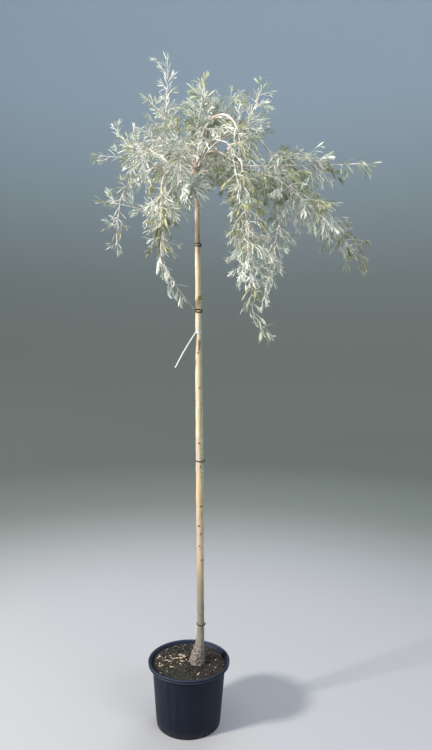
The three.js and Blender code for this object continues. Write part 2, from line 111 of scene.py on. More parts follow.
# Materials
class Value:
    """One socket of a material, on which sums are written as Python expressions."""

    def __init__(self, graph: "Graph", socket: bpy.types.NodeSocket) -> None:
        """Wraps a socket of a node of the graph."""
        self.graph = graph
        self.socket = socket

    def __add__(self, other: "Value | float") -> "Value":
        """Self plus other."""
        return self.graph.sum("ADD", self, other)

    def __radd__(self, other: float) -> "Value":
        """Other plus self."""
        return self.graph.sum("ADD", other, self)

    def __sub__(self, other: "Value | float") -> "Value":
        """Self minus other."""
        return self.graph.sum("SUBTRACT", self, other)

    def __rsub__(self, other: float) -> "Value":
        """Other minus self."""
        return self.graph.sum("SUBTRACT", other, self)

    def __mul__(self, other: "Value | float") -> "Value":
        """Self times other."""
        return self.graph.sum("MULTIPLY", self, other)

    def __rmul__(self, other: float) -> "Value":
        """Other times self."""
        return self.graph.sum("MULTIPLY", other, self)

    def between(self, low: float, high: float) -> "Value":
        """A smooth step of self, from 0 at low to 1 at high."""
        settings = {"interpolation_type": "SMOOTHSTEP"}
        return self.graph.node("ShaderNodeMapRange", settings, {0: self, 1: low, 2: high})

    def within(self, low: float, high: float, rise: float, fall: float) -> "Value":
        """1 from low to high, which is reached over the rise and left over the fall."""
        return self.between(low - rise, low) * (1 - self.between(high, high + fall))


class Graph:
    """The nodes of one material."""

    def __init__(self, name: str) -> None:
        """Starts a material with no nodes.

        Args:
            name: the material's name.
        """
        self.material = bpy.data.materials.new(name)
        self.material.use_nodes = True
        self.tree = self.material.node_tree
        self.tree.nodes.clear()

    def node(self, kind: str, settings: dict | None = None, inputs: dict | None = None,
             output: int | str = 0) -> Value:
        """Adds a node.

        Args:
            kind: the node's type.
            settings: its own settings, which are set first.
            inputs: the values or links of its sockets, by number or name.
            output: the socket that is wanted.

        Returns:
            The wanted output.
        """
        made = self.tree.nodes.new(kind)
        for name, setting in (settings or {}).items():
            setattr(made, name, setting)
        for name, value in (inputs or {}).items():
            if isinstance(value, Value):
                self.tree.links.new(value.socket, made.inputs[name])
            else:
                made.inputs[name].default_value = value
        return Value(self, made.outputs[output])

    def sum(self, operation: str, first: Value | float, second: Value | float) -> Value:
        """One sum of two numbers."""
        return self.node("ShaderNodeMath", {"operation": operation}, {0: first, 1: second})

    def axis(self, name: str) -> Value:
        """One coordinate of the point, X, Y or Z."""
        point = self.node("ShaderNodeTexCoord", output="Object")
        return self.node("ShaderNodeSeparateXYZ", None, {0: point}, output=name)

    def mix(self, share: Value | float, first: Value | Colour, second: Value | Colour) -> Value:
        """A colour that goes from first to second."""
        settings = {"data_type": "RGBA"}
        return self.node("ShaderNodeMix", settings, {0: share, 6: first, 7: second}, output=2)

    def bump(self, height: Value, depth: float) -> Value:
        """A relief of the given depth in metres, for the Normal socket."""
        return self.node("ShaderNodeBump", None, {"Height": height, "Distance": depth, "Strength": 1.0})

    def finish(self, colour: Value | Colour, roughness: Value | float, normal: Value | None = None,
               **constants: float | Colour) -> bpy.types.Material:
        """Ends the material in one shader.

        Args:
            colour: the base colour.
            roughness: the roughness.
            normal: the relief.
            constants: other sockets of the shader, by name with underscores for blanks.

        Returns:
            The material.
        """
        inputs = {"Base Color": colour, "Roughness": roughness}
        inputs.update({name.replace("_", " "): value for name, value in constants.items()})
        if normal is not None:
            inputs["Normal"] = normal
        shader = self.node("ShaderNodeBsdfPrincipled", None, inputs)
        output = self.tree.nodes.new("ShaderNodeOutputMaterial")
        self.tree.links.new(shader.socket, output.inputs["Surface"])
        return self.material


class Finish(Protocol):
    """What makes the material of a piece."""

    def material(self) -> bpy.types.Material:
        """Makes the material."""


@dataclass(frozen=True)
class Pattern:
    """A noise pattern of a finish.

    scale is its grains to the metre, detail its finer layers, stretch the scale's factors along the
    axes and twist how far it is warped. With a band it rises from 0 to 1 between those two values.
    """

    scale: float
    detail: float = 3.0
    stretch: tuple[float, float, float] = (1.0, 1.0, 1.0)
    twist: float = 0.0
    band: Pair | None = None

    def on(self, graph: Graph) -> Value:
        """Adds the pattern's nodes in the object's own coordinates.

        Args:
            graph: the material's nodes.

        Returns:
            The pattern's value, from 0 to 1.
        """
        point = graph.node("ShaderNodeTexCoord", output="Object")
        placed = graph.node("ShaderNodeMapping", None, {"Vector": point, "Scale": self.stretch})
        inputs = {"Vector": placed, "Scale": self.scale, "Detail": self.detail, "Distortion": self.twist}
        value = graph.node("ShaderNodeTexNoise", None, inputs)
        return value if self.band is None else value.between(*self.band)


@dataclass(frozen=True)
class PotPlastic:
    """Black moulded plastic with a blue sheen, faint streaks down the wall and dust near the ground."""

    black: Colour = srgb(21, 24, 36)
    worn: Colour = srgb(42, 48, 66)
    # A painted highlight: the pale blue-grey laid along the lip's two ridges.
    painted_highlight: Colour = srgb(82, 92, 114)
    dust: Colour = srgb(92, 90, 86)
    streaks: Pattern = Pattern(70, 4, (1.0, 1.0, 0.06))
    streak_band: Pair = (0.42, 0.80)
    clouds: Pattern = Pattern(16)
    specks: Pattern = Pattern(240, 5, band=(0.42, 0.7))
    grain: Pattern = Pattern(900, 2)
    relief: float = 0.0004
    dust_height: float = 0.035
    # Heights of the lip's two ridges, which carry a painted highlight, and how far the painted highlight
    # reaches.
    ridges: Pair = (0.2094, 0.2182)
    painted_highlight_reach: float = 0.0022
    gloss: float = 0.3
    gloss_tint: Colour = (0.7, 0.82, 1.0, 1.0)

    def material(self) -> bpy.types.Material:
        """Makes the material.

        Returns:
            The material.
        """
        graph = Graph("pot_plastic")
        streaks, clouds = self.streaks.on(graph), self.clouds.on(graph)
        worn = streaks.between(*self.streak_band) * (0.12 + 0.45 * clouds)
        colour = graph.mix(worn, self.black, self.worn)
        height = graph.axis("Z")
        # Painted highlight: each ridge of the lip is made paler, where the light would catch it.
        for ridge in self.ridges:
            painted_highlight = height.within(ridge, ridge, self.painted_highlight_reach, self.painted_highlight_reach)
            colour = graph.mix(painted_highlight * (0.1 + 0.6 * clouds), colour, self.painted_highlight)
        low = 1 - height.between(0.0, self.dust_height)
        colour = graph.mix(low * self.specks.on(graph) * 0.45, colour, self.dust)
        roughness = 0.36 + 0.2 * clouds + 0.14 * streaks
        relief = graph.bump(self.grain.on(graph) * 0.4 + streaks * 0.6, self.relief)
        return graph.finish(colour, roughness, relief, Specular_IOR_Level=self.gloss,
                            Specular_Tint=self.gloss_tint)


@dataclass(frozen=True)
class Compost:
    """Moist dark compost: crumbs, fibres and greenish patches of algae."""

    dark: Colour = srgb(24, 22, 22)
    brown: Colour = srgb(54, 44, 39)
    fibre: Colour = srgb(128, 112, 94)
    algae: Colour = srgb(38, 46, 34)
    crumbs: Pattern = Pattern(260, 6, twist=0.6)
    crumb_band: Pair = (0.4, 0.68)
    fibres: Pattern = Pattern(520, 3, (1.0, 0.25, 1.0), 1.2, (0.6, 0.74))
    patches: Pattern = Pattern(22, band=(0.5, 0.64))
    grain: Pattern = Pattern(800)
    relief: float = 0.002

    def material(self) -> bpy.types.Material:
        """Makes the material.

        Returns:
            The material.
        """
        graph = Graph("compost")
        crumbs = self.crumbs.on(graph)
        colour = graph.mix(crumbs.between(*self.crumb_band), self.dark, self.brown)
        colour = graph.mix(self.fibres.on(graph) * 0.7, colour, self.fibre)
        colour = graph.mix(self.patches.on(graph) * 0.6, colour, self.algae)
        relief = graph.bump(crumbs + self.grain.on(graph) * 0.4, self.relief)
        return graph.finish(colour, 0.82 + 0.15 * crumbs, relief)


@dataclass(frozen=True)
class TwoTone:
    """A finish in two tones, as chips, young bark, rubber and plastic have it.

    The second colour lies over the first in the pattern of the tones, and again in fine specks where
    there are any. The grain is the relief's pattern.
    """

    name: str
    colour: Colour
    second: Colour
    roughness: float
    relief: float = 0.0002
    tones: Pattern = Pattern(160, 4, band=(0.38, 0.7))
    grain: Pattern = Pattern(900)
    specks: Pattern | None = None
    sheen: float = 0.0

    def material(self) -> bpy.types.Material:
        """Makes the material.

        Returns:
            The material.
        """
        graph = Graph(self.name)
        colour = graph.mix(self.tones.on(graph), self.colour, self.second)
        if self.specks is not None:
            colour = graph.mix(self.specks.on(graph) * 0.4, colour, self.second)
        relief = graph.bump(self.grain.on(graph), self.relief)
        return graph.finish(colour, self.roughness, relief, Sheen_Weight=self.sheen)


def chip(name: str, colour: Colour, fibres: Colour) -> TwoTone:
    """The finish of a chip or crumb: one plain colour with faint fibres."""
    return TwoTone(name, colour, fibres, 0.85, 0.0003,
                   Pattern(900, 3, (1.0, 0.2, 1.0), band=(0.35, 0.75)), Pattern(900, 3, (1.0, 0.2, 1.0)))


def young_bark(name: str, pale: Colour, deep: Colour) -> TwoTone:
    """The finish of young wood: pale felted bark with darker buds and rings."""
    return TwoTone(name, pale, deep, 0.78, 0.0004, Pattern(38, 4, band=(0.35, 0.68)), Pattern(600, 4),
                   Pattern(420, band=(0.58, 0.72)), 0.25)


@dataclass(frozen=True)
class StemBark:
    """Buff bark: cream and beige, green at the right and the back from algae and painted shade, and grey
    at the foot.
    """

    cream: Colour = srgb(228, 210, 187)
    beige: Colour = srgb(200, 176, 147)
    green: Colour = srgb(140, 141, 104)
    grey: Colour = srgb(120, 118, 104)
    foot: Colour = srgb(146, 134, 130)
    # Painted shade of the hollows in the gnarled foot.
    hollow_shade: Colour = srgb(86, 76, 72)
    weathered: Colour = srgb(186, 172, 158)
    shaded: Colour = srgb(118, 102, 92)
    ochre: Colour = srgb(206, 174, 128)
    # Brown of the drip stains, also used for the label's painted shadow on the stem.
    drip_stain_and_label_shadow: Colour = srgb(112, 84, 56)
    lichen: Colour = srgb(188, 196, 162)
    # Painted light: a paler cream that brightens the upper stem against the crown's shade on it.
    painted_light: Colour = srgb(252, 238, 214)
    # Painted shade: a darker tan that dims the lower stem.
    painted_shade_low: Colour = srgb(158, 138, 118)
    scale: Colour = srgb(112, 94, 74)
    # Patterns, of which the long ones are drawn out up the stem.
    long_grain: Pattern = Pattern(60, 5, (1.0, 1.0, 0.12), 0.4)
    clouds: Pattern = Pattern(11, 4, (1.0, 1.0, 0.5))
    patches: Pattern = Pattern(30, 5, (1.0, 1.0, 0.3), 0.5)
    ochre_patches: Pattern = Pattern(8, 3, (1.0, 1.0, 0.7), band=(0.46, 0.56))
    drips: Pattern = Pattern(46, 4, (1.6, 1.6, 0.2), 0.8, (0.62, 0.7))
    lichen_spots: Pattern = Pattern(130, 4, band=(0.48, 0.58))
    # Where the painted shade of the foot's hollows lies.
    foot_hollow_shade: Pattern = Pattern(120, 5, band=(0.46, 0.62))
    foot_lumps: Pattern = Pattern(170, 5, band=(0.3, 0.7))
    pores: Pattern = Pattern(300, 2, (0.5, 0.5, 1.6), band=(0.62, 0.74))
    blotches: Pattern = Pattern(34, 5, (1.0, 1.0, 0.6), band=(0.6, 0.8))
    fine_grain: Pattern = Pattern(700)
    relief: float = 0.0009
    # Values of a pattern between which a colour comes in.
    cream_band: Pair = (0.36, 0.62)
    weathered_band: Pair = (0.46, 0.58)
    shaded_band: Pair = (0.28, 0.5)
    label_shadow_band: Pair = (0.44, 0.54)
    # Heights between which a colour comes in, or fades out, and how far the clouds move them.
    label_shadow_heights: Pair = (1.29, 1.36)
    shaded_heights: Pair = (1.66, 1.80)
    painted_light_heights: Pair = (1.0, 1.9)
    painted_shade_low_heights: Pair = (0.5, 1.15)
    grey_heights: Pair = (0.50, 0.70)
    foot_heights: Pair = (0.28, 0.34)
    label_shadow_edges: Pair = (0.03, 0.015)
    shaded_wander: float = 0.10
    grey_wander: float = 0.16
    foot_wander: float = 0.04
    # Where the right side and the back begin, off the stem's axis, and how that axis leans.
    green_side: Pair = (-0.007, 0.009)
    lichen_side: Pair = (0.004, 0.010)
    back: Pair = (0.002, 0.012)
    lean: float = 0.0186
    lean_foot: float = 0.0469
    side_wander: float = 0.012

    def material(self) -> bpy.types.Material:
        """Makes the material, from the ground colour, painted light and shade up to the stains and the
        foot.

        Returns:
            The material.
        """
        graph = Graph("stem_bark")
        height = graph.axis("Z")
        along, clouds = self.long_grain.on(graph), self.clouds.on(graph)
        side = graph.axis("X") + height * self.lean - self.lean_foot + (clouds - 0.5) * self.side_wander
        # The green at the right and the back is partly algae and partly painted shade, on the side away
        # from the key lamp.
        green = side.between(*self.green_side)
        back = graph.axis("Y").between(*self.back)
        colour = graph.mix(along.between(*self.cream_band), self.beige, self.cream)
        colour = graph.mix(green * 0.8 + back * 0.35 * (1 - green), colour, self.green)
        # Painted light: the stem grows paler upwards.
        colour = graph.mix(height.between(*self.painted_light_heights) * 0.5, colour, self.painted_light)
        # Painted shade: the stem grows darker downwards.
        colour = graph.mix((1 - height.between(*self.painted_shade_low_heights)) * 0.75, colour, self.painted_shade_low)
        colour = self.weather_and_shade(graph, colour, height, along, clouds)
        lichen = side.between(*self.lichen_side) * self.lichen_spots.on(graph)
        colour = graph.mix(lichen * 0.8, colour, self.lichen)
        low = 1 - (height + clouds * self.grey_wander).between(*self.grey_heights)
        colour = graph.mix(low * 0.85, colour, self.grey)
        foot = 1 - (height + clouds * self.foot_wander).between(*self.foot_heights)
        colour = graph.mix(foot * 0.9, colour, self.foot)
        # Painted shade: dark patches for the foot's hollows.
        colour = graph.mix(foot * self.foot_hollow_shade.on(graph) * 0.7, colour, self.hollow_shade)
        pores = self.pores.on(graph)
        colour = graph.mix(pores * 0.55 + self.blotches.on(graph) * 0.3, colour, self.scale)
        lumps = foot * self.foot_lumps.on(graph)
        relief = along * 0.5 + pores * 0.5 + lumps * 2.2 + self.fine_grain.on(graph) * 0.3
        return graph.finish(colour, 0.62 + 0.25 * along, graph.bump(relief, self.relief))

    def weather_and_shade(self, graph: Graph, colour: Value, height: Value, along: Value, clouds: Value) -> Value:
        """Lays ochre and weathered patches, the painted shade at the top, the label's painted shadow and
        brown drips.

        Args:
            graph: the material's nodes.
            colour: the bark's colour so far.
            height: the height over the ground.
            along: the long grain.
            clouds: the broad clouds.

        Returns:
            The colour with the patches, painted shade and shadow, and stains.
        """
        patches = self.patches.on(graph)
        colour = graph.mix(self.ochre_patches.on(graph) * 0.5, colour, self.ochre)
        colour = graph.mix(patches.between(*self.weathered_band) * 0.65, colour, self.weathered)
        shaded = (height + clouds * self.shaded_wander).between(*self.shaded_heights)
        colour = graph.mix(shaded * patches.between(*self.shaded_band) * 0.85, colour, self.shaded)
        # Painted shadow: the label's shadow, a brown band on the stem just under the label.
        label_shadow = height.within(*self.label_shadow_heights, *self.label_shadow_edges) * along.between(*self.label_shadow_band)
        colour = graph.mix(label_shadow * 0.85, colour, self.drip_stain_and_label_shadow)
        return graph.mix(self.drips.on(graph) * 0.5, colour, self.drip_stain_and_label_shadow)


@dataclass(frozen=True)
class LeafFelt:
    """One felted face of a leaf in a plain tint, which is dealt out by spray."""

    name: str
    colour: Colour
    felt: Pattern = Pattern(1400, 2)
    roughness: float = 0.62
    relief: float = 0.0002
    sheen: float = 0.35

    def material(self) -> bpy.types.Material:
        """Makes the material.

        Returns:
            The material.
        """
        graph = Graph(self.name)
        felt = self.felt.on(graph)
        relief = graph.bump(felt, self.relief)
        return graph.finish(self.colour, self.roughness + 0.12 * felt, relief, Sheen_Weight=self.sheen)


def leaf_faces(name: str, upper: Colour, under: Colour) -> tuple[LeafFelt, LeafFelt]:
    """The finishes of a leaf's two faces: the upper one, and the paler under one."""
    return LeafFelt(f"leaf_{name}_upper", upper), LeafFelt(f"leaf_{name}_under", under)


@dataclass(frozen=True)
class StudioPaper:
    """The studio's plain paper: a grey floor that darkens outwards, and a backdrop that pales upwards."""

    floor: Colour = srgb(168, 167, 170)
    shade: Colour = srgb(120, 125, 118)
    backdrop: Colour = srgb(166, 180, 192)
    floor_radius: Pair = (1.0, 3.4)
    heights: Pair = (1.0, 6.0)
    roughness: float = 0.9

    def material(self) -> bpy.types.Material:
        """Makes the material.

        Returns:
            The material.
        """
        graph = Graph("studio_paper")
        point = graph.node("ShaderNodeTexCoord", output="Object")
        away = graph.node("ShaderNodeVectorMath", {"operation": "LENGTH"}, {0: point}, output="Value")
        colour = graph.mix(away.between(*self.floor_radius), self.floor, self.shade)
        colour = graph.mix(graph.axis("Z").between(*self.heights), colour, self.backdrop)
        return graph.finish(colour, self.roughness)


class Tint(Enum):
    """The tints of the leaves, from the whitest young ones to the old ones inside the crown."""

    WHITE = leaf_faces("white", srgb(218, 221, 210), srgb(236, 238, 230))
    SILVER = leaf_faces("silver", srgb(198, 205, 194), srgb(224, 228, 220))
    GREY_GREEN = leaf_faces("grey_green", srgb(174, 184, 164), srgb(212, 218, 207))
    SAGE = leaf_faces("sage", srgb(156, 160, 126), srgb(204, 205, 182))
    LIME = leaf_faces("lime", srgb(190, 190, 142), srgb(216, 214, 184))


# Modelling
def clear_selection() -> None:
    """Leaves edit mode and deselects everything."""
    if bpy.context.object is not None and bpy.context.object.mode != "OBJECT":
        bpy.ops.object.mode_set(mode="OBJECT")
    bpy.ops.object.select_all(action="DESELECT")


def choose(piece: Piece) -> None:
    """Selects one piece alone and makes it active.

    Args:
        piece: the piece.
    """
    clear_selection()
    piece.select_set(True)
    bpy.context.view_layer.objects.active = piece


def edit(action: str = "SELECT") -> None:
    """Enters edit mode and selects all of the active piece, or deselects it."""
    bpy.ops.object.mode_set(mode="EDIT")
    bpy.ops.mesh.select_all(action=action)


def leave_edit() -> None:
    """Leaves edit mode."""
    bpy.ops.object.mode_set(mode="OBJECT")


def settle(piece: Piece) -> None:
    """Applies a piece's place to its mesh, so that its object sits at the origin."""
    choose(piece)
    bpy.ops.object.transform_apply(location=True, rotation=True, scale=True)


def apply_modifier(piece: Piece, kind: str, **settings: object) -> None:
    """Adds one modifier with its settings and applies it.

    Args:
        piece: the piece.
        kind: the modifier's type.
        settings: the modifier's settings.
    """
    choose(piece)
    modifier = piece.modifiers.new(kind.lower(), kind)
    for name, value in settings.items():
        setattr(modifier, name, value)
    bpy.ops.object.modifier_apply(modifier=modifier.name)


def roughen(piece: Piece, name: str, size: float, depth: float, **settings: object) -> None:
    """Presses a cloudy relief into a piece.

    Args:
        piece: the piece.
        name: the relief's name.
        size: the size of its grains.
        depth: its height from the lowest to the highest place.
        settings: other settings of the modifier.
    """
    texture = bpy.data.textures.new(name, "CLOUDS")
    texture.noise_scale = size
    settings = {"texture_coords": "LOCAL", **settings}
    apply_modifier(piece, "DISPLACE", texture=texture, strength=depth, **settings)


def join(name: str, pieces: Sequence[Piece]) -> Piece:
    """Joins pieces into one.

    Args:
        name: the joined piece's name.
        pieces: the pieces.

    Returns:
        The joined piece.
    """
    choose(pieces[0])
    for piece in pieces:
        piece.select_set(True)
    if len(pieces) > 1:
        bpy.ops.object.join()
    whole = bpy.context.view_layer.objects.active
    whole.name = name
    return whole


def raised(name: str, rings: Sequence[tuple[Vector, float]], sides: int) -> Piece:
    """A closed round piece, raised from a flat disc by extruding it ring by ring.

    Args:
        name: the piece's name.
        rings: each ring's centre and radius; the first and the last are closed by a flat face.
        sides: the number of sides.

    Returns:
        The piece.
    """
    clear_selection()
    centre, radius = rings[0]
    bpy.ops.mesh.primitive_circle_add(vertices=sides, radius=radius, fill_type="NGON", location=centre)
    piece = bpy.context.object
    piece.name = name
    settle(piece)
    edit()
    for following, wider in rings[1:]:
        bpy.ops.mesh.extrude_region_move(TRANSFORM_OT_translate={"value": following - centre})
        factor = wider / radius
        bpy.ops.transform.resize(value=(factor, factor, 1.0), center_override=following)
        centre, radius = following, wider
    bpy.ops.mesh.select_all(action="SELECT")
    bpy.ops.mesh.normals_make_consistent(inside=False)
    leave_edit()
    return piece


def turned(name: str, profile: Iterable[Pair], sides: int) -> Piece:
    """A round piece on the pot's axis, from the radius and height of each ring."""
    return raised(name, [(Vector((0, 0, height)), radius) for radius, height in profile], sides)


def smooth(piece: Piece, degrees: float) -> None:
    """Shades a piece smooth, except at edges that turn by more than the angle."""
    choose(piece)
    bpy.ops.object.shade_smooth_by_angle(angle=math.radians(degrees))


def deliver(piece: Piece, finish: Finish | tuple[Finish, ...], nodes: Sequence[str]) -> None:
    """Dresses a finished piece and ties it to the frame.

    Args:
        piece: the piece, in place.
        finish: what makes its material, or one such finish for each of its material slots.
        nodes: the solids that it stands for.
    """
    piece.data.materials.clear()
    for each in finish if isinstance(finish, tuple) else (finish,):
        piece.data.materials.append(each.material())
    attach(piece, BODY)
    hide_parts(*nodes)
    piece.data.calc_loop_triangles()
    LOG.info("%s: %d triangles, for %d solids", piece.name, len(piece.data.loop_triangles), len(nodes))


class Pile:
    """Many small closed shapes, heaped up as arrays and then made one mesh."""

    def __init__(self) -> None:
        """Starts an empty pile."""
        self.points: list[np.ndarray] = []
        self.corners: list[np.ndarray] = []
        self.count = 0

    def add(self, points: np.ndarray, corners: np.ndarray) -> None:
        """Adds a shape.

        Args:
            points: its points.
            corners: the three points of each triangle, by number.
        """
        self.points.append(points)
        self.corners.append(corners + self.count)
        self.count += len(points)

    def build(self, name: str) -> Piece:
        """Makes one mesh of all the shapes.

        Args:
            name: the piece's name.

        Returns:
            The piece.
        """
        points = np.concatenate(self.points).astype(np.float32)
        corners = np.concatenate(self.corners).astype(np.int32)
        mesh = bpy.data.meshes.new(name)
        mesh.vertices.add(len(points))
        mesh.vertices.foreach_set("co", points.ravel())
        mesh.loops.add(corners.size)
        mesh.loops.foreach_set("vertex_index", corners.ravel())
        mesh.polygons.add(len(corners))
        mesh.polygons.foreach_set("loop_start", np.arange(0, corners.size, 3, dtype=np.int32))
        mesh.update(calc_edges=True)
        mesh.validate()
        piece = bpy.data.objects.new(name, mesh)
        bpy.context.scene.collection.objects.link(piece)
        return piece


def rod(path: Sequence[Vector], radii: Sequence[float], sides: int) -> tuple[np.ndarray, np.ndarray]:
    """A closed tapering rod along a path.

    Args:
        path: the points of its centre line.
        radii: its radius at each point.
        sides: the number of sides.

    Returns:
        Its points and the corners of its triangles.
    """
    rings = []
    side = (path[1] - path[0]).orthogonal()
    for index, point in enumerate(path):
        along = (path[min(index + 1, len(path) - 1)] - path[max(index - 1, 0)]).normalized()
        side = (side - along * side.dot(along)).normalized()
        across = along.cross(side)
        for step in range(sides):
            turn = 2 * math.pi * step / sides
            rings.append(point + (side * math.cos(turn) + across * math.sin(turn)) * radii[index])
    points = np.array([*rings, path[0], path[-1]])
    step = np.arange(sides)
    following = (step + 1) % sides
    corners = []
    for ring in range(len(path) - 1):
        low, high = ring * sides, (ring + 1) * sides
        corners.append(np.stack([low + step, low + following, high + following], axis=1))
        corners.append(np.stack([low + step, high + following, high + step], axis=1))
    foot, tip = len(points) - 2, len(points) - 1
    last = (len(path) - 1) * sides
    corners.append(np.stack([following, step, np.full(sides, foot)], axis=1))
    corners.append(np.stack([last + step, last + following, np.full(sides, tip)], axis=1))
    return points, np.concatenate(corners)


# The pot and its compost
@dataclass
class NurseryPot:
    """The round pot: a thin tapering wall, a rolled lip with two ridges and a recessed underside."""

    foot_radius: float = 0.1135
    neck_radius: float = 0.130
    neck_height: float = 0.205
    wall: float = 0.0024
    floor: float = 0.004
    lip_height: float = 0.012
    lip_inside: float = 0.005
    ridge: float = 0.0016
    foot_ring: float = 0.006
    # A shallow step round the wall, over the foot.
    step_height: float = 0.013
    step_depth: float = 0.0006
    step_rise: float = 0.001
    neck_rise: float = 0.002
    neck_flare: float = 0.0008
    wall_rings: int = 12
    sides: int = 96
    edge_angle: float = 50
    # The underside's rings: how many foot rings in from the foot, and height.
    underside: tuple[Pair, ...] = (
        (2.0, 0.0015), (1.6, 0.0015), (1.3, 0.0), (0.3, 0.0), (0.0, 0.0018))
    # The lip's rings: how many ridges in from the rim, and height over the skirt and under the top.
    lip_side: tuple[Pair, ...] = (
        (3.2, -0.0012), (1.6, -0.0012), (0.6, 0.0), (0.3, 0.0014), (0.7, 0.0028), (1.5, 0.0038),
        (1.4, 0.0052), (0.4, 0.0070), (0.0, 0.0090))
    lip_top: tuple[Pair, ...] = (
        (0.4, 0.0012), (1.3, 0.0002), (2.5, 0.0), (3.5, 0.0006), (4.4, 0.0022), (5.2, 0.0042),
        (6.6, 0.0052))
    # The lip's rings inside the pot: share of the lip's overhang, and depth under the skirt.
    lip_under: tuple[Pair, ...] = ((1.0, -0.0044), (0.85, 0.0), (0.45, 0.0046), (0.0, 0.0085))
    inner_height: float = 0.11
    corner: float = 0.002

    def __post_init__(self) -> None:
        """Reads the rim's radius and height from the frame."""
        low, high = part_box("pot")
        self.height = high.z
        self.rim_radius = (high.x - low.x) / 2

    def wall_radius(self, height: float) -> float:
        """The wall's outer radius at a height."""
        return lerp(self.foot_radius, self.neck_radius, height / self.neck_height)

    def profile(self) -> list[Pair]:
        """Lists the pot's rings, from under the floor round the lip to the inside.

        Returns:
            Each ring's radius and height.
        """
        skirt = self.height - self.lip_height
        inside = self.wall_radius(skirt) - self.wall
        rings = [(self.foot_radius - share * self.foot_ring, height) for share, height in self.underside]
        under_step = self.step_height - self.step_rise
        rings.append((self.wall_radius(under_step), under_step))
        for step in range(self.wall_rings + 1):
            height = lerp(self.step_height, self.neck_height - self.neck_rise, step / self.wall_rings)
            rings.append((self.wall_radius(height) + self.step_depth, height))
        rings.append((self.neck_radius + self.neck_flare, self.neck_height))
        rings += [(self.rim_radius - ridges * self.ridge, skirt + rise) for ridges, rise in self.lip_side]
        rings += [(self.rim_radius - ridges * self.ridge, self.height - drop)
                  for ridges, drop in self.lip_top]
        rings += [(inside + share * self.lip_inside, skirt - drop) for share, drop in self.lip_under]
        low_inside = self.wall_radius(self.floor) - self.wall
        rings.append((self.wall_radius(self.inner_height) - self.wall, self.inner_height))
        rings.append((low_inside - self.corner, self.floor + self.corner))
        rings.append((low_inside - 2 * self.corner, self.floor))
        return rings

    def build(self) -> None:
        """Models the pot and dresses it."""
        shell = turned("pot_shell", self.profile(), self.sides)
        smooth(shell, self.edge_angle)
        deliver(shell, PotPlastic(), ["pot"])


@dataclass(frozen=True)
class Chips:
    """One kind of chip or crumb on the compost.

    length is the longest one's, and flatness the thickness over the width. The given share of them
    keeps to a patch round its middle.
    """

    piece: str
    finish: TwoTone
    count: int
    length: float
    flatness: float
    patch: Pair = (0.0, 0.0)
    share: float = 0.0


class ChipKind(Enum):
    """What lies on the compost: pale chips and shreds at the back left, moss at the front left."""

    WOOD = Chips("wood_chips", chip("wood_chip", srgb(212, 192, 166), srgb(168, 142, 114)), 44, 0.021,
                 0.3, (-0.055, 0.020), 0.85)
    SHRED = Chips("pale_shreds", chip("pale_shred", srgb(186, 172, 152), srgb(144, 128, 108)), 260,
                  0.006, 0.4, (-0.055, 0.020), 0.3)
    BARK = Chips("bark_chips", chip("bark_chip", srgb(100, 80, 68), srgb(62, 50, 43)), 560, 0.008, 0.5)
    DARK = Chips("dark_crumbs", chip("dark_crumb", srgb(32, 28, 27), srgb(22, 21, 21)), 1700, 0.009,
                 0.7)
    MOSS = Chips("moss_crumbs", chip("moss_crumb", srgb(50, 62, 40), srgb(34, 44, 30)), 620, 0.007,
                 0.8, (-0.035, -0.065), 0.6)


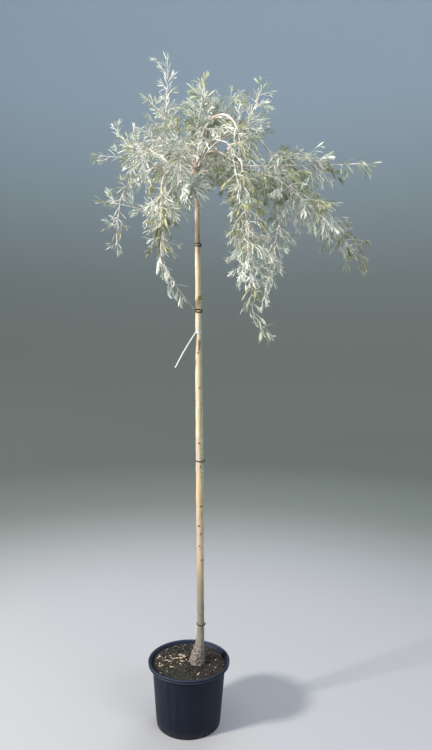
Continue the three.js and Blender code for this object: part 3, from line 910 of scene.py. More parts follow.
@dataclass
class CompostBed:
    """The compost's lumpy top, and the chips and crumbs that lie on it."""

    stem_foot: Vector
    wall_gap: float = 0.0050
    overlap: float = 0.0016
    foot_height: float = 0.12
    foot_taper: float = 0.93
    edge_drops: Pair = (0.016, 0.004)
    rings: int = 26
    sides: int = 96
    edge_angle: float = 70
    # The lumps, broad and fine: how many to the metre, the layer of the noise, and their height.
    lumps: tuple[tuple[float, float, float], ...] = ((28, 0.3, 0.0018), (120, 1.7, 0.00108))
    # The bed has settled, falls along the wall, is heaped round the stem and rises to the back.
    settled: float = 0.001
    wall_fall: float = 0.002
    fall_span: Pair = (0.8, 1.0)
    heap: float = 0.003
    heap_radius: float = 0.035
    back_rise: float = 0.006
    back_skew: float = 0.3
    back_span: Pair = (-0.02, 0.11)
    # How far a patch of chips spreads to the right and away, and how far all keep from the wall.
    patch_spread: Pair = (0.036, 0.030)
    rim_clear: float = 0.006
    # A chip's length over the longest, its width over its length, its thickness's uneven factor, how
    # far its corners are worn, and its lift over its thickness.
    lengths: Pair = (0.35, 1.0)
    widths: Pair = (0.25, 0.6)
    heights: Pair = (0.6, 1.2)
    worn_corner: float = 0.5
    lift: float = 0.25
    tips: Pair = (0.35, 0.3)
    seed: int = 5

    # The triangles of a chip, whose corners run through x, y and z, low before high.
    CHIP_FACES = np.array([
        (0, 1, 3), (0, 3, 2), (4, 6, 7), (4, 7, 5), (0, 4, 5), (0, 5, 1),
        (2, 3, 7), (2, 7, 6), (0, 2, 6), (0, 6, 4), (1, 5, 7), (1, 7, 3)])

    def __post_init__(self) -> None:
        """Reads the bed's radius and height from the frame."""
        low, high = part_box("soil")
        self.level = high.z
        self.radius = (high.x - low.x) / 2 + self.overlap

    def surface(self, x: float, y: float) -> float:
        """The height of the compost's top.

        Args:
            x: the place to the right of the pot's axis.
            y: the place behind the pot's axis.

        Returns:
            The height over the ground.
        """
        out = math.hypot(x, y) / self.radius
        lumps = sum(height * noise.noise(Vector((x * scale, y * scale, layer)))
                    for scale, layer, height in self.lumps)
        fall = self.wall_fall * smoothstep(out, *self.fall_span)
        away = (Vector((x, y, 0)) - self.stem_foot).length / self.heap_radius
        heap = self.heap * math.exp(-away ** 2)
        rise = self.back_rise * smoothstep(y - self.back_skew * x, *self.back_span)
        return self.level - self.settled - fall + heap + rise + lumps

    def build(self) -> None:
        """Models the bed and strews it."""
        deliver(self.build_bed(), Compost(), ["soil"])
        generator = random.Random(self.seed)
        for kind in ChipKind:
            pile = Pile()
            for _ in range(kind.value.count):
                self.strew(pile, kind.value, generator)
            deliver(pile.build(kind.value.piece), kind.value.finish, ["soil"])

    def build_bed(self) -> Piece:
        """Insets a disc ring by ring and moves its top to the compost's height.

        Returns:
            The bed.
        """
        wide, foot = self.radius, self.radius - self.wall_gap
        low, high = (self.level - drop for drop in self.edge_drops)
        profile = [(foot * self.foot_taper, self.foot_height), (foot, low), (wide, high)]
        bed = turned("compost_bed", profile, self.sides)
        choose(bed)
        edit("DESELECT")
        bpy.ops.mesh.select_mode(type="FACE")
        leave_edit()
        top = max(bed.data.polygons, key=lambda face: face.center.z)
        top.select = True
        bpy.ops.object.mode_set(mode="EDIT")
        for _ in range(self.rings):
            bpy.ops.mesh.inset(thickness=wide / (self.rings + 1), depth=0)
        leave_edit()
        for vertex in bed.data.vertices:
            if vertex.co.z > high - 0.001:
                vertex.co.z = self.surface(vertex.co.x, vertex.co.y)
        smooth(bed, self.edge_angle)
        return bed

    def place(self, kind: Chips, generator: random.Random) -> Pair:
        """Finds a place on the bed, in the kind's patch or anywhere.

        Args:
            kind: the kind of chip.
            generator: the source of chance.

        Returns:
            The place to the right of the pot's axis and behind it.
        """
        if generator.random() < kind.share:
            x = generator.gauss(kind.patch[0], self.patch_spread[0])
            y = generator.gauss(kind.patch[1], self.patch_spread[1])
        else:
            turn = generator.uniform(0, 2 * math.pi)
            out = self.radius * math.sqrt(generator.random())
            x, y = out * math.cos(turn), out * math.sin(turn)
        factor = min(1.0, (self.radius - self.rim_clear) / max(math.hypot(x, y), 1e-6))
        return x * factor, y * factor

    def strew(self, pile: Pile, kind: Chips, generator: random.Random) -> None:
        """Lays one chip: a box with uneven corners, turned and tipped by chance.

        Args:
            pile: the pile that it joins.
            kind: the kind of chip.
            generator: the source of chance.
        """
        x, y = self.place(kind, generator)
        length = kind.length * generator.uniform(*self.lengths)
        width = length * generator.uniform(*self.widths)
        height = width * kind.flatness * generator.uniform(*self.heights)
        turn = Matrix.Rotation(generator.uniform(0, 2 * math.pi), 3, "Z")
        tip = Matrix.Rotation(generator.gauss(0, self.tips[0]), 3, "X") @ Matrix.Rotation(
            generator.gauss(0, self.tips[1]), 3, "Y")
        centre = Vector((x, y, self.surface(x, y) + height * self.lift))
        corners = []
        for sides in itertools.product((-0.5, 0.5), repeat=3):
            local = Vector([side * size * generator.uniform(self.worn_corner, 1.0)
                            for side, size in zip(sides, (length, width, height))])
            corners.append(turn @ (tip @ local) + centre)
        pile.add(np.array(corners), self.CHIP_FACES)


# The stem
@dataclass
class Stem:
    """The stem's course and girth, as the solid has them, and its bark, scars and buds."""

    foot_x: float = 0.043
    lean: float = 0.0186
    bow: float = 0.001
    foot_radius: float = 0.012
    top_radius: float = 0.0088
    swell: float = 0.0032
    swell_height: float = 0.95
    swell_span: float = 0.46
    flare: float = 0.0145
    kick: float = 0.0145
    flare_height: float = 0.063
    head: float = 0.0062
    head_height: float = 1.984
    head_span: float = 0.04
    # The rings stand closer up to the end of the flare. The lowest is sunk in the compost, and the
    # last one of full girth is so far under the top.
    ring_gap: float = 0.016
    flare_ring_gap: float = 0.008
    flare_end: float = 0.12
    sunk: float = 0.006
    last_ring: float = 0.010
    least_gap: float = 0.002
    # The rounded top: how far under the end, and the share of the girth.
    top_rings: tuple[Pair, ...] = ((0.004, 0.9), (0.0005, 0.62), (0.0, 0.25))
    sides: int = 20
    edge_angle: float = 60
    # Reliefs pressed into the bark: grain size, height, whether drawn out upwards, and where.
    grain_stretch: float = 6.0
    reliefs: tuple[tuple[str, float, float, bool, str], ...] = (
        ("long_grain", 0.010, 0.0014, True, ""),
        ("swellings", 0.045, 0.0022, False, ""),
        ("gnarled_foot", 0.011, 0.0100, False, "foot"),
    )
    # Height, bearing in degrees and radius of each pruning scar; bearing 270 looks at the viewer.
    scars: tuple[tuple[float, float, float], ...] = (
        (1.321, 262, 0.0032), (1.195, 284, 0.0036), (1.134, 330, 0.0034), (0.997, 268, 0.0038),
        (0.915, 280, 0.0030), (0.771, 290, 0.0042), (0.702, 250, 0.0034), (0.673, 276, 0.0034),
        (0.630, 262, 0.0036), (0.580, 300, 0.0040), (0.385, 256, 0.0032), (1.090, 70, 0.0036),
        (0.840, 120, 0.0034), (1.640, 100, 0.0028), (0.530, 60, 0.0040), (1.420, 160, 0.0030),
    )
    # A scar's rings as a share of its radius, and their heights over its sunken seat.
    collar: tuple[Pair, ...] = (
        (1.5, 0.0), (1.35, 0.0012), (1.12, 0.0024), (0.86, 0.0027), (0.66, 0.0018))
    heart: tuple[Pair, ...] = ((0.72, 0.0004), (0.7, 0.0020), (0.3, 0.0024))
    collar_sides: int = 14
    heart_sides: int = 12
    scar_sunk: float = 0.0016
    scar_oval: Pair = (0.7, 1.25)
    crack_size: float = 0.003
    crack_depth: float = 0.0014
    # The tuft of leaflets: its height and bearing, and each one's turn, climb and length.
    buds_height: float = 1.512
    buds_bearing: float = 300
    leaflets: tuple[tuple[float, float, float], ...] = (
        (-40, 42, 0.019), (14, 24, 0.022), (60, 58, 0.022), (-70, 8, 0.016), (30, 70, 0.020),
        (-10, -20, 0.017), (75, 20, 0.024), (50, -8, 0.018), (-60, 66, 0.016))
    leaflet_width: float = 0.36
    leaflet_bend: float = 0.3
    leaflet_fold: float = 0.6

    def __post_init__(self) -> None:
        """Reads the stem's ends from the frame."""
        low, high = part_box("trunk")
        self.foot = low.z
        self.top = high.z

    def flare_share(self, height: float) -> float:
        """How much of the root flare is left at a height, from 1 at the foot down to 0."""
        return math.exp(-((height - self.foot) / self.flare_height) ** 2)

    def centre(self, height: float) -> Vector:
        """The middle of the stem.

        Args:
            height: the height over the ground.

        Returns:
            The point on its axis.
        """
        climbed = height - self.foot
        share = climbed / (self.top - self.foot)
        kick = self.kick * self.flare_share(height)
        x = self.foot_x - self.lean * climbed + self.bow * math.sin(math.pi * share) - kick
        return Vector((x, 0, height))

    def radius(self, height: float) -> float:
        """The stem's girth, with its swelling, its flare and its graft.

        Args:
            height: the height over the ground.

        Returns:
            The radius.
        """
        share = (height - self.foot) / (self.top - self.foot)
        swell = self.swell * math.exp(-((height - self.swell_height) / self.swell_span) ** 2)
        flare = self.flare * self.flare_share(height)
        head = self.head * math.exp(-((height - self.head_height) / self.head_span) ** 2)
        return lerp(self.foot_radius, self.top_radius, share) + swell + flare + head

    def gap_to(self, point: Vector) -> float:
        """How far a point is outside the stem's bark."""
        height = min(max(point.z, self.foot), self.top)
        return (point - self.centre(height)).length - self.radius(height)

    def build(self) -> None:
        """Models the stem and what grows on it."""
        deliver(self.build_bark(), StemBark(), ["trunk"])
        self.build_scars()
        self.build_buds()

    def build_bark(self) -> Piece:
        """Raises the stem ring by ring, subdivides it and gives it the bark's relief.

        Returns:
            The bark, down to just under the compost.
        """
        heights = [self.foot - self.sunk, self.foot]
        last = self.top - self.last_ring
        while heights[-1] < last - self.least_gap:
            in_flare = heights[-1] < self.foot + self.flare_end
            step = self.flare_ring_gap if in_flare else self.ring_gap
            heights.append(min(heights[-1] + step, last))
        rings = [(self.centre(max(height, self.foot)), self.radius(max(height, self.foot)))
                 for height in heights]
        rings[0][0].z = heights[0]
        for drop, narrow in self.top_rings:
            height = self.top - drop
            rings.append((self.centre(height), self.radius(height) * narrow))
        bark = raised("stem_bark", rings, self.sides)
        apply_modifier(bark, "SUBSURF", levels=2, render_levels=2)
        self.gnarl(bark)
        smooth(bark, self.edge_angle)
        return bark

    def gnarl(self, bark: Piece) -> None:
        """Presses long grain, low swellings and a gnarled foot into the bark.

        Args:
            bark: the smooth bark.
        """
        grain = bpy.data.objects.new("grain_space", None)
        bpy.context.scene.collection.objects.link(grain)
        grain.scale = (1.0, 1.0, self.grain_stretch)
        bpy.context.view_layer.update()
        foot_group = bark.vertex_groups.new(name="foot")
        for vertex in bark.data.vertices:
            foot_group.add([vertex.index], self.flare_share(max(vertex.co.z, self.foot)), "REPLACE")
        for name, size, strength, drawn_out, group in self.reliefs:
            space = {"texture_coords": "LOCAL"}
            if drawn_out:
                space = {"texture_coords": "OBJECT", "texture_coords_object": grain}
            roughen(bark, name, size, strength, mid_level=0.5, vertex_group=group, **space)
        bpy.data.objects.remove(grain)

    def on_bark(self, height: float, bearing: float, lift: float = 0.0) -> Matrix:
        """Finds a place on the bark.

        Args:
            height: the height over the ground.
            bearing: the side of the stem, in degrees.
            lift: how far it is off the bark.

        Returns:
            The place, with +Z pointing out of the bark.
        """
        outward = compass(bearing, 0)
        spot = self.centre(height) + outward * (self.radius(height) + lift)
        return Matrix.Translation(spot) @ outward.to_track_quat("Z", "Y").to_matrix().to_4x4()

    def build_scars(self) -> None:
        """Models the healed pruning cuts: a raised collar of bark round a sunken brown heart."""
        collars, hearts = [], []
        oval = Matrix.Diagonal((*self.scar_oval, 1.0, 1.0))
        for height, bearing, size in self.scars:
            place = self.on_bark(height, bearing, -self.scar_sunk)
            # The bearing also gives each scar a turn of its own about its middle.
            turn = Matrix.Rotation(bearing, 4, "Z")
            for name, rings, sides, heap in (("scar_collar", self.collar, self.collar_sides, collars),
                                             ("scar_heart", self.heart, self.heart_sides, hearts)):
                part = turned(name, [(size * share, rise) for share, rise in rings], sides)
                part.matrix_world = place @ (turn @ oval)
                settle(part)
                heap.append(part)
        collar_skin = TwoTone("scar_collar", srgb(184, 158, 126), srgb(118, 90, 64), 0.8, 0.0005)
        heart_skin = TwoTone("scar_heart", srgb(92, 62, 42), srgb(54, 38, 28), 0.85, 0.0006)
        for name, heap, skin in (("scar_collars", collars, collar_skin),
                                 ("scar_hearts", hearts, heart_skin)):
            whole = join(name, heap)
            roughen(whole, f"{name}_cracks", self.crack_size, self.crack_depth)
            smooth(whole, self.edge_angle)
            deliver(whole, skin, ["trunk"])

    def build_buds(self) -> None:
        """Models a tuft of young leaflets high on the bare stem."""
        root = self.on_bark(self.buds_height, self.buds_bearing).translation
        pile = LeafPile()
        for turn, climb, length in self.leaflets:
            along = compass(self.buds_bearing + turn, climb)
            pile.add(Leaf(root, along, Vector((0, 0, 1)), length, length * self.leaflet_width,
                          self.leaflet_bend, self.leaflet_fold, 0.0))
        faces = leaf_faces("bud", srgb(150, 154, 86), srgb(186, 188, 128))
        deliver(pile.build("stem_buds"), faces, ["trunk"])


@dataclass
class Ties:
    """The dark ties round the stem: bands wound once or twice, with a knot and two short ends."""

    stem: Stem
    cord: float = 0.0017
    pitch: float = 0.0072
    names: tuple[str, ...] = ("tie_upper", "tie_crown", "tie_middle", "tie_lower")
    # A band's tilt to the front, turned back with each winding, and to the side, in radians.
    tilt: float = 0.10
    tilt_back: float = 0.16
    side_tilt: float = 0.06
    band_depth: float = 0.55
    band_height: float = 1.25
    band_segments: int = 44
    band_sides: int = 10
    # The knot's size over the cord's, and its depth, and its height with one turn or two, over that.
    knot_size: float = 1.7
    knot_depth: float = 0.9
    knot_heights: Pair = (1.3, 1.8)
    crease_size: float = 1.6
    crease_depth: float = 0.0016
    # The knot's two ends: climb and heading in degrees, the points along one, and how it droops.
    ends: tuple[Pair, ...] = ((-62, -70), (38, -30))
    end_steps: tuple[float, ...] = (0, 0.0022, 0.0044, 0.0062)
    end_droop: float = 18
    end_sides: int = 8
    end_girths: tuple[float, ...] = (0.72, 0.72, 0.72, 0.5)
    edge_angle: float = 50

    def build(self) -> None:
        """Models each tie in its solid's place."""
        skin = TwoTone("tie_rubber", srgb(34, 33, 36), srgb(60, 58, 58), 0.62)
        for name in self.names:
            low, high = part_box(name)
            turns = 2 if high.z - low.z > 1.2 * self.pitch + self.cord else 1
            middle = (low.z + high.z) / 2
            parts = self.bands(middle, turns) + self.knot(middle, turns)
            tie = join(f"{name}_band", parts)
            smooth(tie, self.edge_angle)
            deliver(tie, skin, [name])

    def bands(self, middle: float, turns: int) -> list[Piece]:
        """Models the turns of a tie, each a ring that is a little tilted and higher than thick.

        Args:
            middle: the height of the tie's middle.
            turns: how many times it is wound.

        Returns:
            The rings.
        """
        rings = []
        for turn in range(turns):
            height = middle + (turn - (turns - 1) / 2) * self.pitch
            centre = self.stem.centre(height)
            clear_selection()
            bpy.ops.mesh.primitive_torus_add(
                location=centre, rotation=(self.tilt - self.tilt_back * turn, self.side_tilt, 0.0),
                major_segments=self.band_segments, minor_segments=self.band_sides,
                major_radius=self.stem.radius(height) + self.cord * self.band_depth,
                minor_radius=self.cord)
            ring = bpy.context.object
            settle(ring)
            edit()
            bpy.ops.transform.resize(value=(1.0, 1.0, self.band_height), center_override=centre)
            leave_edit()
            rings.append(ring)
        return rings

    def knot(self, middle: float, turns: int) -> list[Piece]:
        """Models the knot at the right of the stem, and its two ends.

        Args:
            middle: the height of the tie's middle.
            turns: how many times the tie is wound.

        Returns:
            The knot and its ends.
        """
        outward = self.stem.radius(middle) + self.cord
        spot = self.stem.centre(middle) + Vector((outward, 0, 0))
        clear_selection()
        bpy.ops.mesh.primitive_ico_sphere_add(subdivisions=3, radius=self.cord * self.knot_size,
                                              location=spot)
        lump = bpy.context.object
        lump.scale = (1.0, self.knot_depth, self.knot_heights[turns - 1])
        settle(lump)
        roughen(lump, "knot_crease", self.cord * self.crease_size, self.crease_depth)
        parts = [lump]
        for climb, heading in self.ends:
            way = compass(heading, climb)
            path = [spot + way * step + Vector((0, 0, -self.end_droop * step * step))
                    for step in self.end_steps]
            pile = Pile()
            pile.add(*rod(path, [self.cord * girth for girth in self.end_girths], self.end_sides))
            parts.append(pile.build("tie_end"))
        return parts


@dataclass
class BlankLabel:
    """A blank plastic strip that hangs to the left from its own loop round the stem."""

    stem: Stem
    height: float = 1.394
    length: float = 0.146
    width: float = 0.019
    thickness: float = 0.0009
    corner: float = 0.005
    corner_steps: int = 4
    cuts: int = 16
    # How far the strip bows along its length, and curls down at its long edges.
    bow: float = 0.0025
    curl: float = 0.003
    hang: float = 60
    heading: float = 196
    gap: float = 0.001
    band: float = 0.006
    band_gap: float = 0.0006
    band_sides: int = 40
    edge_angle: float = 40

    def build(self) -> None:
        """Models the strip and its loop."""
        skin = TwoTone("label_plastic", srgb(206, 209, 214), srgb(184, 188, 194), 0.42)
        whole = join("label_strip", [self.strip(), self.loop()])
        smooth(whole, self.edge_angle)
        deliver(whole, skin, ["label"])

    def strip(self) -> Piece:
        """Models a thin plate with rounded corners, curled a little along its length.

        Returns:
            The strip, in place.
        """
        clear_selection()
        bpy.ops.mesh.primitive_cube_add(size=1, location=(self.length / 2, 0, 0))
        plate = bpy.context.object
        plate.scale = (self.length, self.width, self.thickness)
        settle(plate)
        edit("DESELECT")
        bpy.ops.mesh.select_mode(type="EDGE")
        leave_edit()
        vertices = plate.data.vertices
        for edge in plate.data.edges:
            first, second = (vertices[index].co for index in edge.vertices)
            edge.select = abs(first.z - second.z) > self.thickness / 2
        bpy.ops.object.mode_set(mode="EDIT")
        bpy.ops.mesh.bevel(offset=self.corner, segments=self.corner_steps)
        leave_edit()
        for cut in range(1, self.cuts):
            edit()
            bpy.ops.mesh.bisect(plane_co=(self.length * cut / self.cuts, 0, 0), plane_no=(1, 0, 0))
            leave_edit()
        for vertex in vertices:
            share = vertex.co.x / self.length
            vertex.co.z += (self.bow * math.sin(math.pi * share)
                            - self.curl * (vertex.co.y / self.width) ** 2)
        way = Matrix.Rotation(math.radians(self.heading), 4, "Z") @ Matrix.Rotation(
            math.radians(self.hang), 4, "Y")
        out = compass(self.heading, 0) * (self.stem.radius(self.height) + self.gap)
        plate.matrix_world = Matrix.Translation(self.stem.centre(self.height) + out) @ way
        settle(plate)
        return plate

    def loop(self) -> Piece:
        """Models the loop of the same plastic round the stem.

        Returns:
            The loop.
        """
        radius = self.stem.radius(self.height) + self.band_gap
        centre = self.stem.centre(self.height)
        outside = radius + self.thickness
        rings = [(radius, -0.5), (outside, -0.5), (outside, 0.5), (radius, 0.5)]
        last, level = rings[0]
        clear_selection()
        bpy.ops.mesh.primitive_circle_add(vertices=self.band_sides, radius=last, fill_type="NOTHING",
                                          location=centre + Vector((0, 0, level * self.band)))
        band = bpy.context.object
        settle(band)
        edit()
        for wide, step in [*rings[1:], rings[0]]:
            bpy.ops.mesh.extrude_edges_move(
                TRANSFORM_OT_translate={"value": (0, 0, (step - level) * self.band)})
            bpy.ops.transform.resize(value=(wide / last, wide / last, 1.0), center_override=centre)
            last, level = wide, step
        bpy.ops.mesh.select_all(action="SELECT")
        bpy.ops.mesh.remove_doubles(threshold=0.00001)
        bpy.ops.mesh.normals_make_consistent(inside=False)
        leave_edit()
        return band


# The crown
@dataclass(frozen=True)
class Leaf:
    """One leaf: its root, the ways it grows and looks, its length, width, bend, fold and roll."""

    root: Vector
    along: Vector
    face: Vector
    length: float
    width: float
    bend: float
    fold: float
    roll: float


class LeafPile:
    """Leaves heaped up as arrays: each a closed thin blade, folded along its rib and bent."""

    PLACES = np.array([0.0, 0.15, 0.40, 0.65, 0.87])
    WIDTHS = np.array([0.12, 0.36, 0.84, 1.0, 0.60])
    THICKNESS = 0.011
    EDGE_ANGLE = 75

    def __init__(self) -> None:
        """Starts an empty pile."""
        self.leaves: list[Leaf] = []

    def add(self, leaf: Leaf) -> None:
        """Adds a leaf."""
        self.leaves.append(leaf)

    @classmethod
    def faces(cls) -> tuple[np.ndarray, np.ndarray]:
        """Lists the triangles of one leaf: four faces from ring to ring, its tip and its closed root.

        Returns:
            The three points of each triangle, by number, and its side: 0 is above and 1 under.
        """
        made, rings = [], len(cls.PLACES) - 1
        for ring in range(rings):
            for side in range(4):
                low, high = 4 * ring + side, 4 * ring + (side + 1) % 4
                made += [(low, high, high + 4), (low, high + 4, low + 4)]
        last, tip = 4 * rings, 4 * (rings + 1)
        made += [(last + side, last + (side + 1) % 4, tip) for side in range(4)]
        made += [(0, 2, 1), (0, 3, 2)]
        sides = [0, 0, 0, 0, 1, 1, 1, 1] * rings + [0, 0, 1, 1, 1, 1]
        return np.array(made), np.array(sides, dtype=np.int32)

    def points(self) -> np.ndarray:
        """Works out the points of all leaves.

        Returns:
            One row of points for each leaf.
        """
        root = np.array([leaf.root for leaf in self.leaves])
        along = np.array([leaf.along.normalized() for leaf in self.leaves])
        face = np.array([leaf.face for leaf in self.leaves])
        length, width, bend, fold, roll = (np.array([getattr(leaf, name) for leaf in self.leaves])
                                           for name in ("length", "width", "bend", "fold", "roll"))
        across = np.cross(along, face)
        across /= np.linalg.norm(across, axis=1)[:, None]
        up = np.cross(across, along)
        half = width / 2
        thick = length * self.THICKNESS / 2
        rings = []
        for place, broad in zip([*self.PLACES, 1.0], [*self.WIDTHS, 0.0]):
            turn = bend * place
            reach = length * np.sin(turn) / bend
            sink = -length * (1 - np.cos(turn)) / bend
            spine = root + along * reach[:, None] + up * sink[:, None]
            normal = up * np.cos(turn)[:, None] + along * np.sin(turn)[:, None]
            lean = roll * place
            wide = across * np.cos(lean)[:, None] + normal * np.sin(lean)[:, None]
            high = normal * np.cos(lean)[:, None] - across * np.sin(lean)[:, None]
            if broad == 0.0:
                rings.append(spine)
                continue
            edge = wide * (half * broad)[:, None]
            lift = high * (half * broad * fold)[:, None]
            rib = high * thick[:, None]
            rings += [spine + edge + lift, spine + rib, spine - edge + lift, spine - rib]
        return np.stack(rings, axis=1)

    def build(self, name: str) -> Piece:
        """Makes one piece of all the leaves, with a material slot for each of their two faces.

        Args:
            name: the piece's name.

        Returns:
            The piece.
        """
        points = self.points()
        count, each = points.shape[:2]
        faces, sides = self.faces()
        corners = faces[None] + (np.arange(count) * each)[:, None, None]
        pile = Pile()
        pile.add(points.reshape(-1, 3), corners.reshape(-1, 3))
        piece = pile.build(name)
        for _ in range(2):
            piece.data.materials.append(None)
        piece.data.polygons.foreach_set("material_index", np.tile(sides, count))
        smooth(piece, self.EDGE_ANGLE)
        return piece


@dataclass(frozen=True)
class Growth:
    """How a limb is set with twigs and leaves.

    leaf and slender are the leaves' length and their width over it, the gaps are along the limb and
    along a twig, sag is how far a twig turns down in each part, hang is how far a leaf does, curled is
    the share of leaves that roll back, and spread is their angle to the twig in degrees. A tuft at a
    twig's end has tuft leaves, and tuft_spread is how many degrees they stand off the twig's way, at
    least and at most. limb_gap is between the leaves straight on the limb, and facing is how far the
    tuft's leaves turn their faces the twig's way.
    """

    leaf: float
    slender: float
    twig_gap: float
    leaf_gap: float
    sag: float
    hang: float
    curled: float
    spread: float
    tuft: int = 5
    tuft_spread: Pair = (6, 42)
    limb_gap: float = 0.014
    facing: float = 0.0


class Habit(Enum):
    """The habits of the crown's limbs."""

    FINE = Growth(0.036, 0.112, 0.0180, 0.0080, -0.03, -0.05, 0.12, 40)
    DENSE = Growth(0.037, 0.120, 0.0150, 0.0082, 0.01, 0.0, 0.25, 46)
    CURLED = Growth(0.042, 0.150, 0.0140, 0.0085, 0.04, 0.06, 0.60, 50)
    WEEPING = Growth(0.036, 0.145, 0.0140, 0.0082, 0.05, 0.08, 0.50, 54)
    WHISKER = Growth(0.037, 0.110, 0.0200, 0.0085, -0.02, -0.05, 0.08, 36, 9, (4, 40), 0.0078)
    BROAD = Growth(0.051, 0.225, 0.0260, 0.0150, 0.10, 0.40, 0.60, 62, 3, (10, 60), 0.0180)
    STAR = Growth(0.072, 0.120, 0.0400, 0.0300, 0.0, 0.02, 0.10, 60, 26, (48, 100), facing=2.6)
    PLUME = Growth(0.052, 0.145, 0.0150, 0.0095, 0.0, -0.05, 0.10, 38, 9, (10, 60))


@dataclass(frozen=True)
class Limb:
    """One limb of the crown, from the graft to its tip, as the solids have it.

    bearing is the side of the graft that it stands on, where that isn't its heading, and seat how far
    from the stem's axis. Nothing grows on the bare stretch, nor past bare_tip from the end. From the
    bare stretch's start to the share shown, it is kept open to a viewer in front. Past open_from there
    are no side twigs, and single leaves of the open habit, on two sides in turn. The last twig leans to
    the right by tip_lean. The sprays are dealt their tints by place unless the limb has a tint of its
    own, and a way as wide as clearing is kept open in front of the limb's root.
    """

    name: str
    root: float
    heading: float
    slopes: tuple[float, float, float]
    bends: Pair
    length: float
    fork: float
    reach: float
    habit: Habit
    bearing: float | None = None
    seat: float = 0.010
    bare: Pair = (0.0, 0.0)
    shown: float = 0.0
    open_from: float = 1.0
    open_habit: Habit | None = None
    bare_tip: float = 0.0
    tint: Tint | None = None
    margin: float = 0.012
    tip_lean: float = 4
    clearing: float = 0.0

    STEPS = 60
    BEND_WIDTH = 0.13
    LEAST_GIRTH = 0.0028
    TIP_GIRTH = 0.0013
    SLIMNESS = 380
    TAPER = 0.6

    def direction(self, share: float) -> Vector:
        """Finds the way the limb grows.

        Args:
            share: the share of its length.

        Returns:
            The direction there.
        """
        rise, cruise, fall = self.slopes
        first, second = self.bends
        width = self.BEND_WIDTH
        climb = (rise + (cruise - rise) * smoothstep(share, first - width, first + width)
                 + (fall - cruise) * smoothstep(share, second - width, second + width))
        return compass(self.heading, climb)

    def course(self, stem: Stem) -> list[Vector]:
        """Follows the limb from its seat in the graft to its tip.

        Args:
            stem: the stem that bears it.

        Returns:
            Evenly spaced points.
        """
        bearing = self.heading if self.bearing is None else self.bearing
        points = [stem.centre(self.root) + compass(bearing, 0) * self.seat]
        for step in range(self.STEPS):
            way = self.direction((step + 0.5) / self.STEPS)
            points.append(points[-1] + way * (self.length / self.STEPS))
        return points

    def radius(self, share: float) -> float:
        """The limb's radius at a share of its length."""
        girth = self.LEAST_GIRTH + self.length / self.SLIMNESS
        return lerp(girth, self.TIP_GIRTH, share ** self.TAPER)

    def habit_at(self, share: float) -> Growth:
        """The growth at a share of the limb's length."""
        past = share > self.open_from and self.open_habit is not None
        return (self.open_habit if past else self.habit).value

    def is_bare(self, share: float) -> bool:
        """True on the bare stretch, on which nothing grows."""
        return self.bare[0] < share < self.bare[1]

    @property
    def nodes(self) -> list[str]:
        """The solids of the limb: its foliage and, unless it is a shoot, its bough."""
        return [f"foliage_{self.name}"] + ([f"bough_{self.name}"] if self.fork > 0 else [])


FINE, DENSE, CURLED, WEEPING, WHISKER, BROAD, STAR, PLUME = Habit
